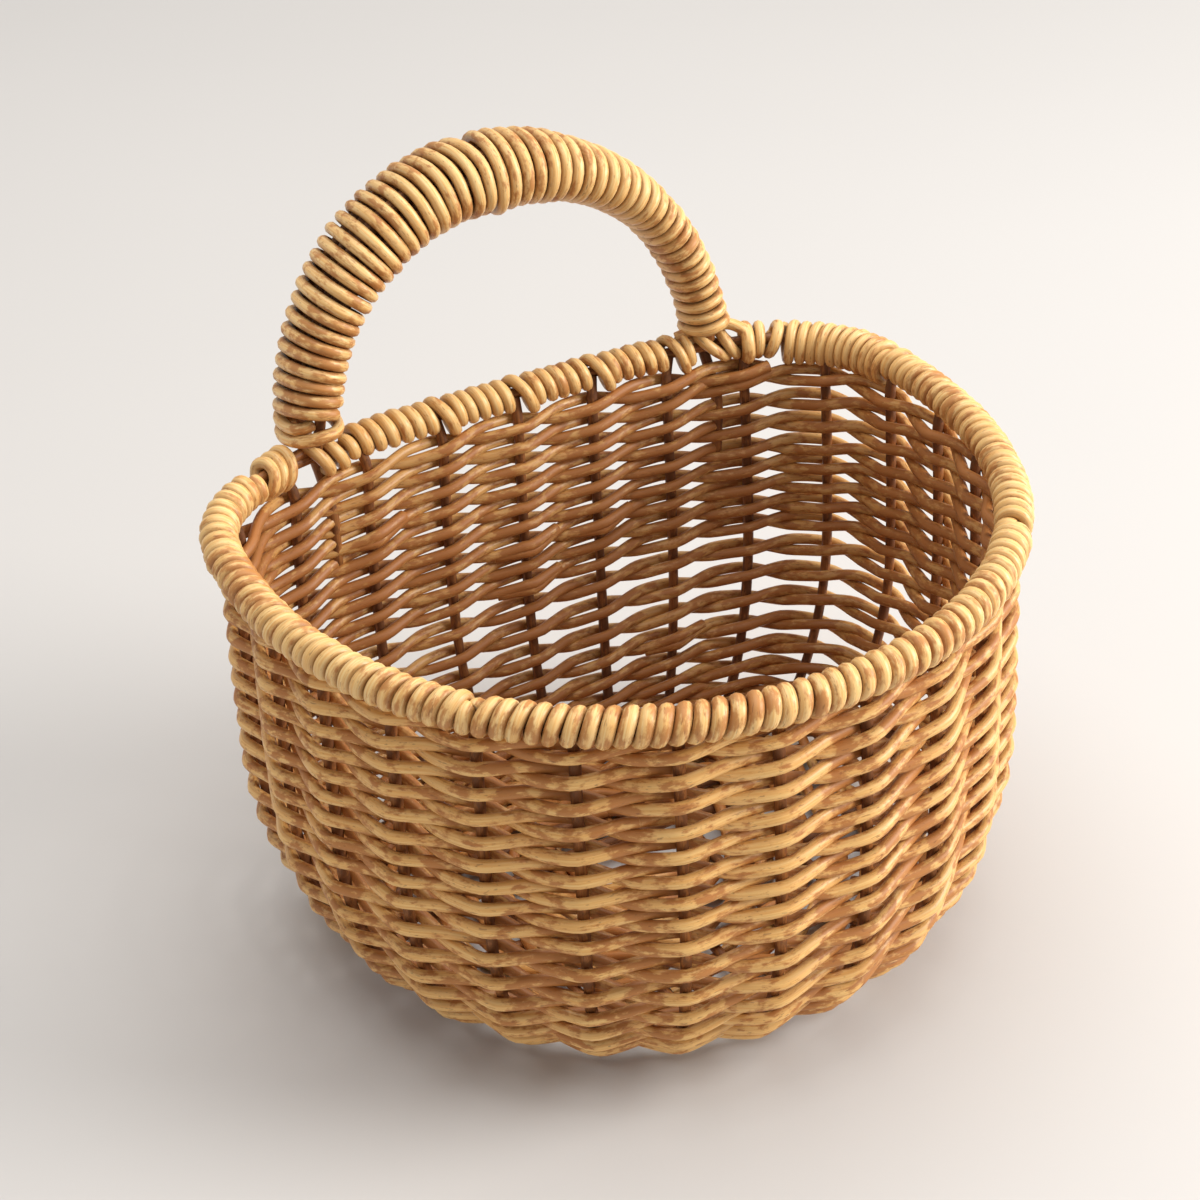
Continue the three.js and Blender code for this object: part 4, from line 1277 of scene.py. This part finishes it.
def tuck_points(side, facing):
    """An outer cane's lower end: the back one goes past the hoop and down into the wall."""
    if facing < 0:
        return [[side * HANDLE_HALF_WIDTH, foot[1] + facing * HOOP_RADIUS, RIM_HEIGHT + FRONT_CANE_STOP]]
    foot_angle = math.atan2(foot[1] - PLAN_Y, side * HANDLE_HALF_WIDTH)
    points = []
    for drop, slide, stand in TUCK_PLACES:
        z = RIM_HEIGHT - drop * CANE_TUCK
        in_wall = wall_point(foot_angle, down_at(z))
        y = in_wall[1] * (1 - stand) + foot[1] * stand + facing * PASS_OFFSET * stand
        points.append([side * HANDLE_HALF_WIDTH + facing * TUCK_OFFSET * slide, y, z])
    return points


def add_packing(bundle, offset, seed):
    """A rod above and one below an inner cane, which fill the band where it is thickest."""
    share = np.linspace(PACKED_FROM, PACKED_TO, PACKING_PLACES)
    centre, outward = arch_at(share * ARCH_LENGTH)
    stack = band_half(share)[0] - HANDLE_WRAP_RADIUS - PACKING_RADIUS
    for face in (-1, 1):
        path = centre + outward * (face * stack)[:, None] + HANDLE_SIDE * offset
        bundle.strand(path, outward * face, PACKING_RADIUS, seed + face, CANE_CREVICE_SHADE)


def add_canes():
    """The outer two canes go down past the hoop. The inner ones are thicker and carry the packing."""
    for k in range(CANES):
        offset = INNER_CANE_SPACING * (k - (CANES - 1) / 2)
        outer = k in (0, CANES - 1)
        if outer:
            offset = math.copysign(OUTER_CANE_OFFSET, offset)
        spread = np.linspace(CANE_SPREAD, ARCH_LENGTH - CANE_SPREAD, CANE_PLACES)
        room = band_half(spread / ARCH_LENGTH)[1] - HANDLE_WRAP_RADIUS - CANE_RADIUS
        drawn_in = np.minimum(room / OUTER_CANE_OFFSET, 1)
        points = list(arch_at(spread)[0] + HANDLE_SIDE * (offset * drawn_in)[:, None])
        if outer:
            facing = 1 if offset > 0 else -1
            points = [*tuck_points(-1, facing), *points, *tuck_points(1, facing)[::-1]]
        path = smooth_path(points, CANE_STEP)
        radius = CANE_RADIUS if outer else INNER_CANE_RADIUS
        bundle = Bundle().strand(path, HANDLE_SIDE, radius, CANE_SEED + 5 * k, CANE_CREVICE_SHADE)
        if not outer:
            add_packing(bundle, offset, PACKING_SEED + 4 * k)
        bundle.make(f"cane_{k + 1}", finishes["core"], "core", f"handle_cane_{k + 1}")


def band_section(turn, share):
    """Where a loop's centre lies after a share of a turn: its offsets out and sideways, and its normal.

    A turn starts on the arch's outer face and goes by its back edge, inner face and front edge.
    """
    thick, wide = band_half(share)
    cosine = np.cos(2 * math.pi * turn)
    sine = np.sin(2 * math.pi * turn)
    bulge = 2 / BAND_POWER
    out = thick * np.sign(cosine) * np.abs(cosine) ** bulge
    side = wide * np.sign(sine) * np.abs(sine) ** bulge
    nx = np.sign(cosine) * np.abs(cosine) ** (2 - bulge) / thick
    ny = np.sign(sine) * np.abs(sine) ** (2 - bulge) / wide
    return out, side, nx, ny


def handle_winding(bundle, start, stop, loops, seed, phase, foot_tilt, hang):
    """One strand wound up the arch from a foot, where its loops lean forward by foot_tilt.

    Its last loops lean back by NOTCH_TILT, and the very last ones hang down by the share hang.
    """
    draw = np.random.default_rng(seed)
    turns = np.linspace(0, loops, int(loops * WRAP_STEPS) + 1)
    knots = np.arange(int(loops) + 3)
    nudges = np.interp(turns, knots, draw.uniform(-WRAP_NUDGE, WRAP_NUDGE, len(knots)))
    distance = start + (stop - start) * turns / loops + nudges
    out, side, nx, ny = band_section(phase + turns, distance / ARCH_LENGTH)
    way = np.sign(stop - start)
    leaning = np.clip((turns - loops + TILTED_LOOPS) / TILTED_LOOPS, 0, 1)
    lean = NOTCH_TILT * (0.5 + (side + np.minimum(out, 0)) / BAND_REACH)
    forward = np.clip(1 - turns / FOOT_LOOPS, 0, 1) * foot_tilt * side / BAND_REACH
    distance = distance - way * (leaning * lean + forward)
    centre, outward = arch_at(distance)
    out = out * (1 + hang * np.clip(turns - loops + 2, 0, 1) * (out < 0))
    puff = 1 + sway(seed + 1, turns * PUFF_PITCH, PUFF_SPACING, PUFF_SHARE)
    path = centre + outward * (out * puff)[:, None] + HANDLE_SIDE * (side * puff)[:, None]
    facing = outward * nx[:, None] + HANDLE_SIDE * ny[:, None]
    pitch = abs(stop - start) / loops * (1 + out / ARCH_BEND) - np.sign(leaning) * lean / TILTED_LOOPS
    width = np.minimum(pitch * WRAP_FILL / (2 * HANDLE_WRAP_RADIUS), 1)
    bundle.strand(path, facing, HANDLE_WRAP_RADIUS, seed, WRAP_CREVICE_SHADE, width=width)


def add_handle_windings():
    """The two windings, which meet in the notch."""
    notch = ARCH_LENGTH * NOTCH_SHARE
    left = Bundle()
    handle_winding(left, LEFT_WRAP_START, notch + NOTCH_LEFT_STOP, LEFT_LOOPS, LEFT_WRAP_SEED,
                   LEFT_WRAP_PHASE, FOOT_TILT, 0)
    left.make("handle_wrap_left", finishes["binding"], "binding", "handle_winding_left")
    right = Bundle()
    handle_winding(right, ARCH_LENGTH - RIGHT_WRAP_START, notch + NOTCH_RIGHT_STOP, RIGHT_LOOPS,
                   RIGHT_WRAP_SEED, RIGHT_WRAP_PHASE, 0, NOTCH_HANG)
    right.make("handle_wrap_right", finishes["binding"], "binding", "handle_winding_right")


def foot_turns(turn, rise, dive):
    """A path round the left leg's foot, from turns as in band_section, heights and how deep it lies."""
    centre, outward = arch_at(rise)
    out, across, nx, ny = band_section(turn, rise / ARCH_LENGTH)
    shrunk = 1 - dive
    path = centre + outward * (out * shrunk)[:, None] + HANDLE_SIDE * (across * shrunk)[:, None]
    return path, outward * nx[:, None] + HANDLE_SIDE * ny[:, None]


def add_left_foot():
    """A ring on the rim, the tail of a strand above it, and lashings and upright loops beside it."""
    bundle = Bundle()
    turn = np.linspace(RING_TURNS[0], RING_TURNS[-1], RING_STEPS)
    rise = np.interp(turn, RING_TURNS, RING_HEIGHTS) * MM
    bundle.strand(*foot_turns(turn, rise, 0), BINDING_RADIUS, LEFT_RING_SEED, FOOT_CREVICE_SHADE)
    turn = np.linspace(TAIL_FROM, TAIL_TO, TAIL_STEPS)
    rise = np.interp(turn, *TAIL_HEIGHTS) * MM
    dive = np.interp(turn, *TAIL_DIVES)
    bundle.strand(*foot_turns(turn, rise, dive), BINDING_RADIUS, LEFT_TAIL_SEED, FOOT_CREVICE_SHADE)
    for i, loop in enumerate(LEFT_FOOT_LOOPS):
        single_loop(bundle, *loop, LEFT_LOOP_SEED + 3 * i)
    bundle.make("foot_ring_left", finishes["binding"], "binding", "foot_tie_left")


def add_right_foot():
    """The end of the right winding, which arches over the rim and is tucked behind an upright loop."""
    stakes, turn, reach = np.array(RIGHT_RING).T
    path, facing = round_hoop(stakes * STAKE_SPACING, turn, reach * MM)
    path = smooth_path(np.hstack([path, facing]), RIGHT_RING_STEP)
    bundle = Bundle().strand(path[:, :3], path[:, 3:], BINDING_RADIUS, RIGHT_RING_SEED, FOOT_CREVICE_SHADE)
    bundle.make("foot_ring_right", finishes["binding"], "binding", "foot_tie_right")


add_camera()
add_studio()
add_wall()
add_stakes()
add_base_sticks()
add_base_weave()
add_hoop()
add_rim_windings()
add_canes()
add_handle_windings()
add_left_foot()
add_right_foot()
